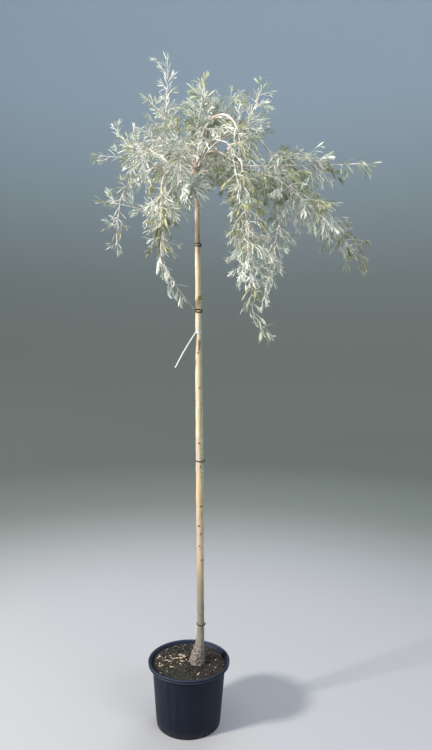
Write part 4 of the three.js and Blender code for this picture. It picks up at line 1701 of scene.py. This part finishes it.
# Heights and lengths in metres, directions in degrees: heading 0 right, 90 away, 180 left.
LIMBS = (
    Limb("leader", 2.006, 174, (68, 55, 92), (0.2, 0.56), 0.367, 0.28, 0.052, FINE, open_from=0.5,
         open_habit=WHISKER),
    Limb("left_upper", 1.998, 204, (46, 54, 50), (0.3, 0.8), 0.215, 0.36, 0.090, DENSE),
    Limb("left_high", 1.990, 158, (20, 26, 44), (0.45, 0.85), 0.335, 0.28, 0.090, FINE),
    Limb("left_out", 1.984, 188, (28, -8, 2), (0.33, 0.86), 0.300, 0.28, 0.085, FINE, open_from=0.62,
         open_habit=WHISKER),
    Limb("left_low", 1.966, 196, (-8, -60, 8), (0.14, 0.6), 0.345, 0.24, 0.080, FINE, open_from=0.66,
         open_habit=WHISKER),
    Limb("left_drooping", 1.970, 164, (14, -34, -84), (0.34, 0.66), 0.470, 0.24, 0.080, FINE,
         open_from=0.93),
    Limb("left_weeping", 1.948, 222, (12, -90, -138), (0.19, 0.7), 0.660, 0.17, 0.066, DENSE,
         open_from=0.42, open_habit=BROAD, bare_tip=0.06),
    Limb("left_middle", 1.996, 258, (30, -20, -66), (0.25, 0.62), 0.320, 0.28, 0.085, DENSE),
    Limb("top_middle", 2.016, 24, (86, 86, 82), (0.3, 0.7), 0.235, 0.3, 0.090, PLUME, seat=0.0,
         margin=0.03),
    Limb("upper_right", 1.996, 342, (56, 24, 70), (0.26, 0.74), 0.310, 0.28, 0.090, DENSE),
    Limb("top_right", 2.012, 32, (70, 56, 56), (0.3, 0.75), 0.285, 0.3, 0.105, DENSE, bearing=52,
         tint=Tint.SILVER, margin=0.03),
    Limb("front_weeping", 2.004, 320, (84, -12, -84), (0.15, 0.27), 0.960, 0.22, 0.100, WEEPING,
         bearing=284, bare=(0.18, 0.31), shown=0.31, open_from=0.84, open_habit=BROAD, tip_lean=38),
    Limb("right_out", 2.006, 358, (74, -42, 1), (0.1, 0.3), 0.575, 0.2, 0.110, CURLED, bearing=6,
         bare=(0.10, 0.44), shown=0.84, open_from=0.86, margin=0.03),
    Limb("right_middle", 1.970, 342, (10, -20, -44), (0.22, 0.62), 0.490, 0.2, 0.110, CURLED,
         margin=0.03),
    Limb("right_low", 1.986, 14, (56, -46, -44), (0.26, 0.8), 0.855, 0.2, 0.120, CURLED,
         margin=0.03),
    Limb("right_inner", 1.964, 34, (36, -26, -104), (0.2, 0.55), 0.780, 0.18, 0.115, WEEPING,
         open_from=0.9, margin=0.03),
    Limb("back_top", 2.008, 96, (74, 62, 40), (0.3, 0.75), 0.290, 0.32, 0.090, FINE),
    Limb("back_out", 1.976, 86, (34, 4, 14), (0.3, 0.7), 0.400, 0.24, 0.100, FINE, open_from=0.92),
    Limb("back_left", 1.974, 126, (34, -40, -88), (0.25, 0.5), 0.520, 0.22, 0.095, WEEPING,
         open_from=0.9),
    Limb("back_right", 1.982, 52, (28, -44, -90), (0.28, 0.52), 0.620, 0.2, 0.095, WEEPING,
         open_from=0.88),
    Limb("back_low", 1.950, 106, (-4, 8, -24), (0.3, 0.75), 0.330, 0.28, 0.090, DENSE),
    Limb("back_high", 1.990, 68, (46, 16, -34), (0.35, 0.8), 0.340, 0.28, 0.090, DENSE),
    Limb("front_left", 1.974, 236, (30, -10, -52), (0.3, 0.7), 0.370, 0.26, 0.090, DENSE),
    Limb("front_right", 1.988, 298, (40, -24, -70), (0.28, 0.66), 0.400, 0.24, 0.090, DENSE),
    Limb("inner_right", 1.960, 308, (24, 14, -10), (0.4, 0.8), 0.130, 0, 0.044, DENSE),
    Limb("inner_back", 1.954, 76, (16, 12, -20), (0.4, 0.8), 0.120, 0, 0.044, DENSE),
    Limb("front_rosette", 1.895, 262, (16, 0, -20), (0.4, 0.8), 0.074, 0, 0.030, STAR, tint=Tint.SILVER,
         margin=0.04, clearing=0.062),
)


@dataclass(frozen=True)
class Way:
    """A way kept clear of leaves from an eye or a lamp to a spot, or on through the crown."""

    source: Vector
    spot: Vector
    radius: float
    through: bool = False

    def crosses(self, point: Vector) -> bool:
        """Tells whether a point is in the way.

        Args:
            point: the point.

        Returns:
            True where it is.
        """
        course = self.spot - self.source
        share = (point - self.source).dot(course) / course.length_squared
        if not self.through and share * course.length > course.length - self.radius * 0.5:
            return False
        return (self.source + course * share - point).length < self.radius


@dataclass
class Room:
    """The space that one limb's twigs and leaves may fill: its solids' box, clear of stem and ways."""

    stem: Stem
    low: Vector
    high: Vector
    ways: Sequence[Way]
    clear: float = 0.003

    def holds(self, point: Vector) -> bool:
        """Tells whether a point is in the box, off the stem and in no clear way.

        Args:
            point: the point.

        Returns:
            True where it is.
        """
        inside = all(self.low[axis] < point[axis] < self.high[axis] for axis in range(3))
        return (inside and self.stem.gap_to(point) > self.clear
                and not any(way.crosses(point) for way in self.ways))


@dataclass(frozen=True)
class Spray:
    """What the twigs and leaves of one spray share: their growth, their space and their tint."""

    growth: Growth
    room: Room
    tint: Tint


@dataclass
class Crown:
    """Boughs, twigs, spurs and leaves, grown from the limbs by the rule that grew the solids."""

    stem: Stem
    cad_low: Vector
    cad_high: Vector
    twig_spread: float = 50
    twig_segments: int = 6
    bough_sides: int = 10
    twig_sides: int = 5
    # Girths of a side twig and of a branchlet at their roots, and of both at their tips.
    twig_girth: float = 0.0019
    branchlet_girth: float = 0.0013
    tip_girth: float = 0.0007
    knob_height: float = 0.16
    knob_scale: float = 160
    # Shares of the bough, or of a shoot, at which growth starts, and of the limb at which it ends.
    bough_start: float = 0.55
    shoot_start: float = 0.12
    twigs_end: float = 0.985
    leaves_end: float = 0.98
    # Bare shares at the root of a twig and of a branchlet.
    twig_bare: float = 0.18
    branchlet_bare: float = 0.3
    # Reach of the side twigs from the first to the last, and by chance, and reach of the last one.
    twig_reach: Pair = (1.1, 0.6)
    twig_chance: Pair = (0.45, 1.1)
    last_reach: float = 0.7
    wander: float = 0.06
    wander_down: float = 0.05
    branchlet_gap: float = 0.034
    branchlet_places: Pair = (0.15, 0.8)
    branchlet_spread: Pair = (38, 62)
    branchlet_reach: Pair = (0.018, 0.045)
    # Short shoots stand among the single leaves, one at every third.
    shoot_every: int = 3
    shoot_spread: float = 50
    shoot_reach: Pair = (0.012, 0.024)
    spray_every: int = 6
    # The leaves' spread and size from a twig's root to its end, and by chance their gap on a limb.
    leaf_spreads: Pair = (1.1, 0.7)
    leaf_sizes: Pair = (1.0, 0.8)
    gap_chance: Pair = (0.5, 1.5)
    # Sizes of the leaves on twigs, in tufts and straight on a limb, over that of a full leaf.
    twig_leaf: Pair = (0.6, 1.2)
    tuft_leaf: Pair = (0.6, 1.1)
    limb_leaf: Pair = (0.75, 1.25)
    # How a leaf's face tilts, its blade bends and curls back, and its width, fold and roll vary.
    tilt: float = 0.6
    bend: Pair = (0.05, 0.45)
    curl: Pair = (0.6, 1.8)
    breadth: Pair = (0.8, 1.15)
    fold: Pair = (0.15, 0.6)
    roll: float = 0.9
    jitter: float = 14
    rank_jitter: float = 32
    golden: float = 137.5
    seat_drop: float = 0.012
    # The leaves' space ends so far inside the whole plant's box.
    edge: float = 0.007
    edge_angle: float = 70
    # Weights of the tints, in their order, in the crown's core and outside it.
    core: Vector = field(default_factory=lambda: Vector((0.08, -0.05, 1.93)))
    core_radius: float = 0.46
    core_tints: tuple[float, ...] = (1.0, 2.2, 3.0, 3.6, 1.5)
    outer_tints: tuple[float, ...] = (3.4, 4.6, 3.4, 1.6, 0.15)
    # Radii of the ways kept open to the bare limbs, along a shown one and to the graft.
    limb_way: float = 0.007
    line_way: float = 0.0062
    graft_way: float = 0.013
    graft_heights: tuple[float, float, float] = (1.962, 1.976, 1.990)
    # Where the sky shows through the crown: x and height in the stem's plane, and radius.
    openings: tuple[tuple[float, float, float], ...] = (
        (0.094, 2.074, 0.022), (0.250, 2.074, 0.024), (0.289, 2.117, 0.014), (-0.285, 1.985, 0.022),
        (-0.255, 1.840, 0.024))

    def __post_init__(self) -> None:
        """Starts the piles and lays out the open ways."""
        self.boughs = Pile()
        self.twigs = Pile()
        self.leaves = {tint: LeafPile() for tint in Tint}
        graft = [(self.stem.centre(height), self.graft_way) for height in self.graft_heights]
        self.ways = self.open_ways(graft)
        self.ways += [Way(EYE, Vector((x, 0, z)), radius, True) for x, z, radius in self.openings]
        for limb in LIMBS:
            course = limb.course(self.stem)
            if limb.shown > 0:
                shares = (*limb.bare, limb.shown)
                first, bare_end, last = (round(share * limb.STEPS) for share in shares)
                self.ways += self.open_ways([(point, self.limb_way) for point in course[first:bare_end]])
                self.ways += [Way(EYE, point, self.line_way) for point in course[bare_end:last]]
            if limb.clearing > 0:
                self.ways += self.open_ways([(course[0], limb.clearing)])

    @staticmethod
    def open_ways(spots: Sequence[tuple[Vector, float]]) -> list[Way]:
        """Ways from the viewer's eye and from the lamp to spots, each with its radius."""
        return [Way(source, spot, radius) for spot, radius in spots for source in (EYE, KEY_LAMP)]

    def draw(self, span: Pair) -> float:
        """A number by chance from a span."""
        return self.chance.uniform(*span)

    def sway(self, most: float) -> float:
        """A number by chance from -most to most."""
        return self.chance.uniform(-most, most)

    def build(self) -> None:
        """Grows every limb and delivers the pieces, each kind apart."""
        for index, limb in enumerate(LIMBS):
            self.chance = random.Random(index + 1)
            self.grow_limb(limb)
        every = [node for limb in LIMBS for node in limb.nodes]
        foliage = [node for node in every if node.startswith("foliage")]
        boughs = [node for node in every if node.startswith("bough")]
        for bark, pile, nodes in (
                (young_bark("boughs_bark", srgb(222, 214, 208), srgb(180, 164, 148)), self.boughs, boughs),
                (young_bark("twigs_bark", srgb(240, 234, 238), srgb(200, 184, 164)), self.twigs, foliage)):
            wood = pile.build(bark.name)
            smooth(wood, self.edge_angle)
            deliver(wood, bark, nodes)
        for tint, pile in self.leaves.items():
            leaves = pile.build(f"leaves_{tint.name.lower()}")
            LOG.info("%s has %d leaves", leaves.name, len(pile.leaves))
            deliver(leaves, tint.value, foliage)

    def room_of(self, limb: Limb) -> Room:
        """Measures the space of a limb, from the boxes of its solids and of the whole plant.

        Args:
            limb: the limb.

        Returns:
            The space that its twigs and leaves may fill.
        """
        boxes = [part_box(node) for node in limb.nodes]
        low, high = Vector(), Vector()
        for axis in range(3):
            low[axis] = max(min(box[0][axis] for box in boxes) - limb.margin,
                            self.cad_low[axis] + self.edge)
            high[axis] = min(max(box[1][axis] for box in boxes) + limb.margin,
                             self.cad_high[axis] - self.edge)
        return Room(self.stem, low, high, [] if limb.clearing > 0 else self.ways)

    def tint_of(self, limb: Limb, point: Vector) -> Tint:
        """Deals a spray its tint: greener and more yellow in the crown's core, whiter outside.

        Args:
            limb: the limb that bears it.
            point: where it stands.

        Returns:
            The limb's own tint, or one by chance.
        """
        if limb.tint is not None:
            return limb.tint
        share = min((point - self.core).length / self.core_radius, 1.0)
        weights = [lerp(inner, outer, share) for inner, outer in zip(self.core_tints, self.outer_tints)]
        return self.chance.choices(list(Tint), weights)[0]

    def grow_limb(self, limb: Limb) -> None:
        """Grows one limb: its bough to the tip, its side twigs and the leaves straight on it.

        Args:
            limb: the limb.
        """
        room = self.room_of(limb)
        course = limb.course(self.stem)
        radii = [limb.radius(step / limb.STEPS) for step in range(limb.STEPS + 1)]
        knobbly = [radius * (1 + self.knob_height * noise.noise(point * self.knob_scale))
                   for radius, point in zip(radii, course)]
        inner = self.stem.centre(limb.root - self.seat_drop)
        self.boughs.add(*rod([inner, *course], [radii[0], *knobbly], self.bough_sides))
        start = limb.fork * self.bough_start if limb.fork > 0 else self.shoot_start
        self.grow_twigs(limb, room, course, start)
        self.grow_limb_leaves(limb, room, course, start)

    @staticmethod
    def spot_on(limb: Limb, course: list[Vector], share: float) -> tuple[Vector, Vector]:
        """Finds a place on a limb.

        Args:
            limb: the limb.
            course: its points.
            share: the share of its length.

        Returns:
            The point and the growing direction there.
        """
        place = share * limb.STEPS
        index = min(int(place), limb.STEPS - 1)
        return course[index].lerp(course[index + 1], place - index), limb.direction(share)

    @staticmethod
    def outward(along: Vector, turn: float) -> Vector:
        """Finds the way out of a twig or limb.

        Args:
            along: the way it grows.
            turn: the turn round it from its side, in degrees.

        Returns:
            The direction out of it.
        """
        side = along.cross(Vector((0, 1, 0)))
        side = side.normalized() if side.length > 0.2 else along.orthogonal().normalized()
        across = along.cross(side)
        return side * math.cos(math.radians(turn)) + across * math.sin(math.radians(turn))

    @staticmethod
    def leaning(along: Vector, outward: Vector, spread: float) -> Vector:
        """The way that leaves along by a spread in degrees, towards outward."""
        return along * math.cos(math.radians(spread)) + outward * math.sin(math.radians(spread))

    def grow_twigs(self, limb: Limb, room: Room, course: list[Vector], start: float) -> None:
        """Grows the side twigs of a limb, and the last one at its tip.

        Args:
            limb: the limb.
            room: its space.
            course: its points.
            start: the share of its length at which they start.
        """
        end = self.twigs_end - limb.bare_tip
        count = max(3, round(limb.length * (end - start) / limb.habit.value.twig_gap))
        first = self.chance.uniform(0, 360)
        for index in range(count + 1):
            share = lerp(start, end, index / count)
            root, along = self.spot_on(limb, course, share)
            last = index == count and not limb.bare_tip
            out = self.outward(along, 0 if last else first + index * self.golden)
            spread = self.twig_spread + self.sway(self.jitter)
            reach = limb.reach * lerp(*self.twig_reach, share) * self.draw(self.twig_chance)
            if last:
                spread, reach = limb.tip_lean, limb.reach * self.last_reach
            if limb.is_bare(share) or (share > limb.open_from and not last):
                continue
            way = self.leaning(along, out, spread)
            growth = limb.habit_at(share) if last else limb.habit.value
            self.grow_twig(Spray(growth, room, self.tint_of(limb, root)), root, way, reach, True)

    def grow_twig(self, spray: Spray, root: Vector, direction: Vector, reach: float, forks: bool) -> None:
        """Grows one side twig with its leaves; a twig that leaves the space is shortened.

        Args:
            spray: its spray.
            root: where it starts.
            direction: the way it starts.
            reach: its length.
            forks: whether it bears branchlets of its own.
        """
        path, ways = [root], [direction.normalized()]
        for _ in range(self.twig_segments):
            following = path[-1] + ways[-1] * (reach / self.twig_segments)
            if not spray.room.holds(following):
                break
            path.append(following)
            wander = Vector((self.chance.gauss(0, self.wander), self.chance.gauss(0, self.wander),
                             self.chance.gauss(-spray.growth.sag, self.wander_down)))
            ways.append((ways[-1] + wander).normalized())
        if len(path) < 3:
            return
        legs = len(path) - 1
        thick = self.twig_girth if forks else self.branchlet_girth
        girths = [lerp(thick, self.tip_girth, index / legs) for index in range(legs + 1)]
        self.twigs.add(*rod(path, girths, self.twig_sides))
        grown = reach * legs / self.twig_segments
        first = self.chance.uniform(0, 360)
        count = max(3, round(grown / spray.growth.leaf_gap))
        for index in range(count):
            bare = self.twig_bare if forks else self.branchlet_bare
            share = lerp(bare, self.leaves_end, index / (count - 1))
            foot, way = self.along_path(path, ways, share)
            out = self.outward(way, first + index * self.golden)
            spread = spray.growth.spread * lerp(*self.leaf_spreads, share) + self.sway(self.jitter)
            size = lerp(*self.leaf_sizes, share) * self.draw(self.twig_leaf)
            self.grow_leaf(spray, foot, self.leaning(way, out, spread), out, size)
        self.grow_tuft(spray, path[-1], ways[-1], first)
        if forks:
            for _ in range(round(grown / self.branchlet_gap)):
                foot, way = self.along_path(path, ways, self.draw(self.branchlet_places))
                out = self.outward(way, self.chance.uniform(0, 360))
                side = self.leaning(way, out, self.draw(self.branchlet_spread))
                self.grow_twig(spray, foot, side, self.draw(self.branchlet_reach), False)

    @staticmethod
    def along_path(path: list[Vector], ways: list[Vector], share: float) -> tuple[Vector, Vector]:
        """Finds a place on a twig.

        Args:
            path: its points.
            ways: its direction at each point.
            share: the share of its length.

        Returns:
            The point and the direction there.
        """
        legs = len(path) - 1
        leg = min(int(share * legs), legs - 1)
        return path[leg].lerp(path[leg + 1], share * legs - leg), ways[leg]

    def grow_tuft(self, spray: Spray, root: Vector, way: Vector, first: float) -> None:
        """Grows the tuft of leaves at the end of a twig.

        Args:
            spray: its spray.
            root: the twig's end.
            way: the way the twig grows.
            first: the turn of the first leaf.
        """
        for index in range(spray.growth.tuft):
            out = self.outward(way, first + index * self.golden)
            size = self.draw(self.tuft_leaf)
            spread = self.draw(spray.growth.tuft_spread)
            face = out + way * spray.growth.facing
            self.grow_leaf(spray, root, self.leaning(way, out, spread), face, size)

    def grow_limb_leaves(self, limb: Limb, room: Room, course: list[Vector], start: float) -> None:
        """Grows the leaves straight on a limb, and short shoots where it has no side twigs.

        Args:
            limb: the limb.
            room: its space.
            course: its points.
            start: the share of its length at which they start.
        """
        share, end = start, self.leaves_end - limb.bare_tip
        turn = self.chance.uniform(0, 360)
        index = 0
        while share < end:
            growth = limb.habit_at(share)
            root, along = self.spot_on(limb, course, share)
            is_open = share > limb.open_from
            ranked = 180 * (index % 2) + self.chance.gauss(0, self.rank_jitter)
            out = self.outward(along, ranked if is_open else turn)
            if index % self.spray_every == 0:
                tint = self.tint_of(limb, root)
            spread = growth.spread + self.sway(self.jitter)
            size = self.draw(self.limb_leaf)
            if not limb.is_bare(share):
                spray = Spray(growth, room, tint)
                self.grow_leaf(spray, root, self.leaning(along, out, spread), out, size)
                if is_open and index % self.shoot_every == 1:
                    side = self.leaning(along, out, self.shoot_spread)
                    self.grow_twig(spray, root, side, self.draw(self.shoot_reach), False)
            share += growth.limb_gap * self.draw(self.gap_chance) / limb.length
            turn += self.golden
            index += 1

    def grow_leaf(self, spray: Spray, root: Vector, along: Vector, out: Vector, size: float) -> None:
        """Grows one leaf, unless its middle or tip would leave the space.

        Args:
            spray: its spray.
            root: where its stalk starts.
            along: the way it grows, before it hangs.
            out: the way to which its face turns a little.
            size: its length over that of a full leaf.
        """
        growth, room = spray.growth, spray.room
        blade = Vector((along.x, along.y, along.z - growth.hang)).normalized()
        length = growth.leaf * size
        if not (room.holds(root + blade * length) and room.holds(root + blade * length * 0.5)):
            return
        tilt = Vector((self.sway(self.tilt), self.sway(self.tilt), 1))
        curl = self.draw(self.curl) if self.chance.random() < growth.curled else 0.0
        bend = self.draw(self.bend) + curl
        width = length * growth.slender * self.draw(self.breadth)
        fold = self.draw(self.fold)
        roll = self.sway(self.roll)
        self.leaves[spray.tint].add(Leaf(root, blade, tilt + out, length, width, bend, fold, roll))


# The studio
@dataclass(frozen=True)
class Lamp:
    """One square lamp: its place, its width, its power in watts and its colour."""

    name: str
    place: Vector
    size: float
    power: float
    colour: tuple[float, float, float]

    def build(self, target: Vector) -> None:
        """Sets the lamp up.

        Args:
            target: the point that it shines at.
        """
        clear_selection()
        bpy.ops.object.light_add(type="AREA", location=self.place)
        lamp = bpy.context.object
        lamp.name = self.name
        lamp.data.size = self.size
        lamp.data.energy = self.power
        lamp.data.color = self.colour
        lamp.rotation_euler = (target - self.place).to_track_quat("-Z", "Y").to_euler()


@dataclass
class Studio:
    """The floor and backdrop, the lights and the camera."""

    lens: float = 28.0
    sensor: float = 36.0
    shift: float = -0.024
    roll: float = 0.59
    floor_radius: float = 5.0
    wall_radius: float = 7.5
    wall_height: float = 12.0
    sides: int = 96
    curve_rings: int = 12
    edge_angle: float = 40
    sky: Colour = (0.84, 0.92, 1.0, 1.0)
    sky_strength: float = 1.5
    target: Vector = field(default_factory=lambda: Vector((0.05, 0, 1.4)))
    lamps: tuple[Lamp, ...] = (
        Lamp("key", KEY_LAMP, 0.6, 345, (1.0, 0.955, 0.88)),
        Lamp("fill", Vector((2.6, -2.6, 2.9)), 2.0, 75, (0.94, 0.97, 1.0)),
        Lamp("back", Vector((1.2, 3.2, 3.8)), 2.4, 60, (0.95, 0.98, 1.0)),
    )

    def build(self) -> None:
        """Makes the studio."""
        self.build_stage()
        self.build_lights()
        self.build_camera()

    def build_stage(self) -> None:
        """Models a floor that curves up into a round backdrop."""
        clear_selection()
        bpy.ops.mesh.primitive_circle_add(vertices=self.sides, radius=self.floor_radius, fill_type="NGON")
        stage = bpy.context.object
        stage.name = "studio_paper"
        edit()
        bpy.ops.mesh.select_mode(type="EDGE")
        radius, height = self.floor_radius, 0.0
        for step in range(1, self.curve_rings + 1):
            turn = math.pi / 2 * step / self.curve_rings
            wide = lerp(self.floor_radius, self.wall_radius, math.sin(turn))
            high = (self.wall_radius - self.floor_radius) * (1 - math.cos(turn))
            self.raise_edge(high - height, wide / radius)
            radius, height = wide, high
        self.raise_edge(self.wall_height - height, 1.0)
        leave_edit()
        smooth(stage, self.edge_angle)
        stage.data.materials.append(StudioPaper().material())
        stage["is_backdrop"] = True

    @staticmethod
    def raise_edge(rise: float, factor: float) -> None:
        """Extrudes the selected round edge up and out."""
        bpy.ops.mesh.extrude_edges_move(TRANSFORM_OT_translate={"value": (0, 0, rise)})
        bpy.ops.transform.resize(value=(factor, factor, 1.0), center_override=(0, 0, 0))

    def build_lights(self) -> None:
        """Makes a soft sky, and a lamp at the left front with weaker ones at the right and back."""
        world = bpy.data.worlds.new("soft_sky")
        world.use_nodes = True
        backdrop = world.node_tree.nodes["Background"]
        backdrop.inputs["Color"].default_value = self.sky
        backdrop.inputs["Strength"].default_value = self.sky_strength
        bpy.context.scene.world = world
        bpy.context.scene.view_settings.view_transform = "Standard"
        for lamp in self.lamps:
            lamp.build(self.target)

    def build_camera(self) -> None:
        """Sets the camera up: level, at the viewer's eye, turned a little about its axis."""
        clear_selection()
        bpy.ops.object.camera_add(location=EYE)
        camera = bpy.context.object
        camera.name = "viewer"
        camera.data.lens = self.lens
        camera.data.sensor_width = self.sensor
        camera.data.shift_y = self.shift
        turn = Matrix.Rotation(math.radians(90), 4, "X") @ Matrix.Rotation(
            math.radians(self.roll), 4, "Z")
        camera.rotation_euler = turn.to_euler()
        bpy.context.scene.camera = camera


def main() -> None:
    """Builds the plant in the order in which it stands, then the studio."""
    logging.basicConfig(level=logging.INFO, format="%(name)s: %(message)s")
    cad_low, cad_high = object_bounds()
    stem = Stem()
    NurseryPot().build()
    CompostBed(Vector((stem.centre(stem.foot).x, 0, 0))).build()
    stem.build()
    Ties(stem).build()
    BlankLabel(stem).build()
    Crown(stem, cad_low, cad_high).build()
    Studio().build()


if __name__ == "__main__":
    main()
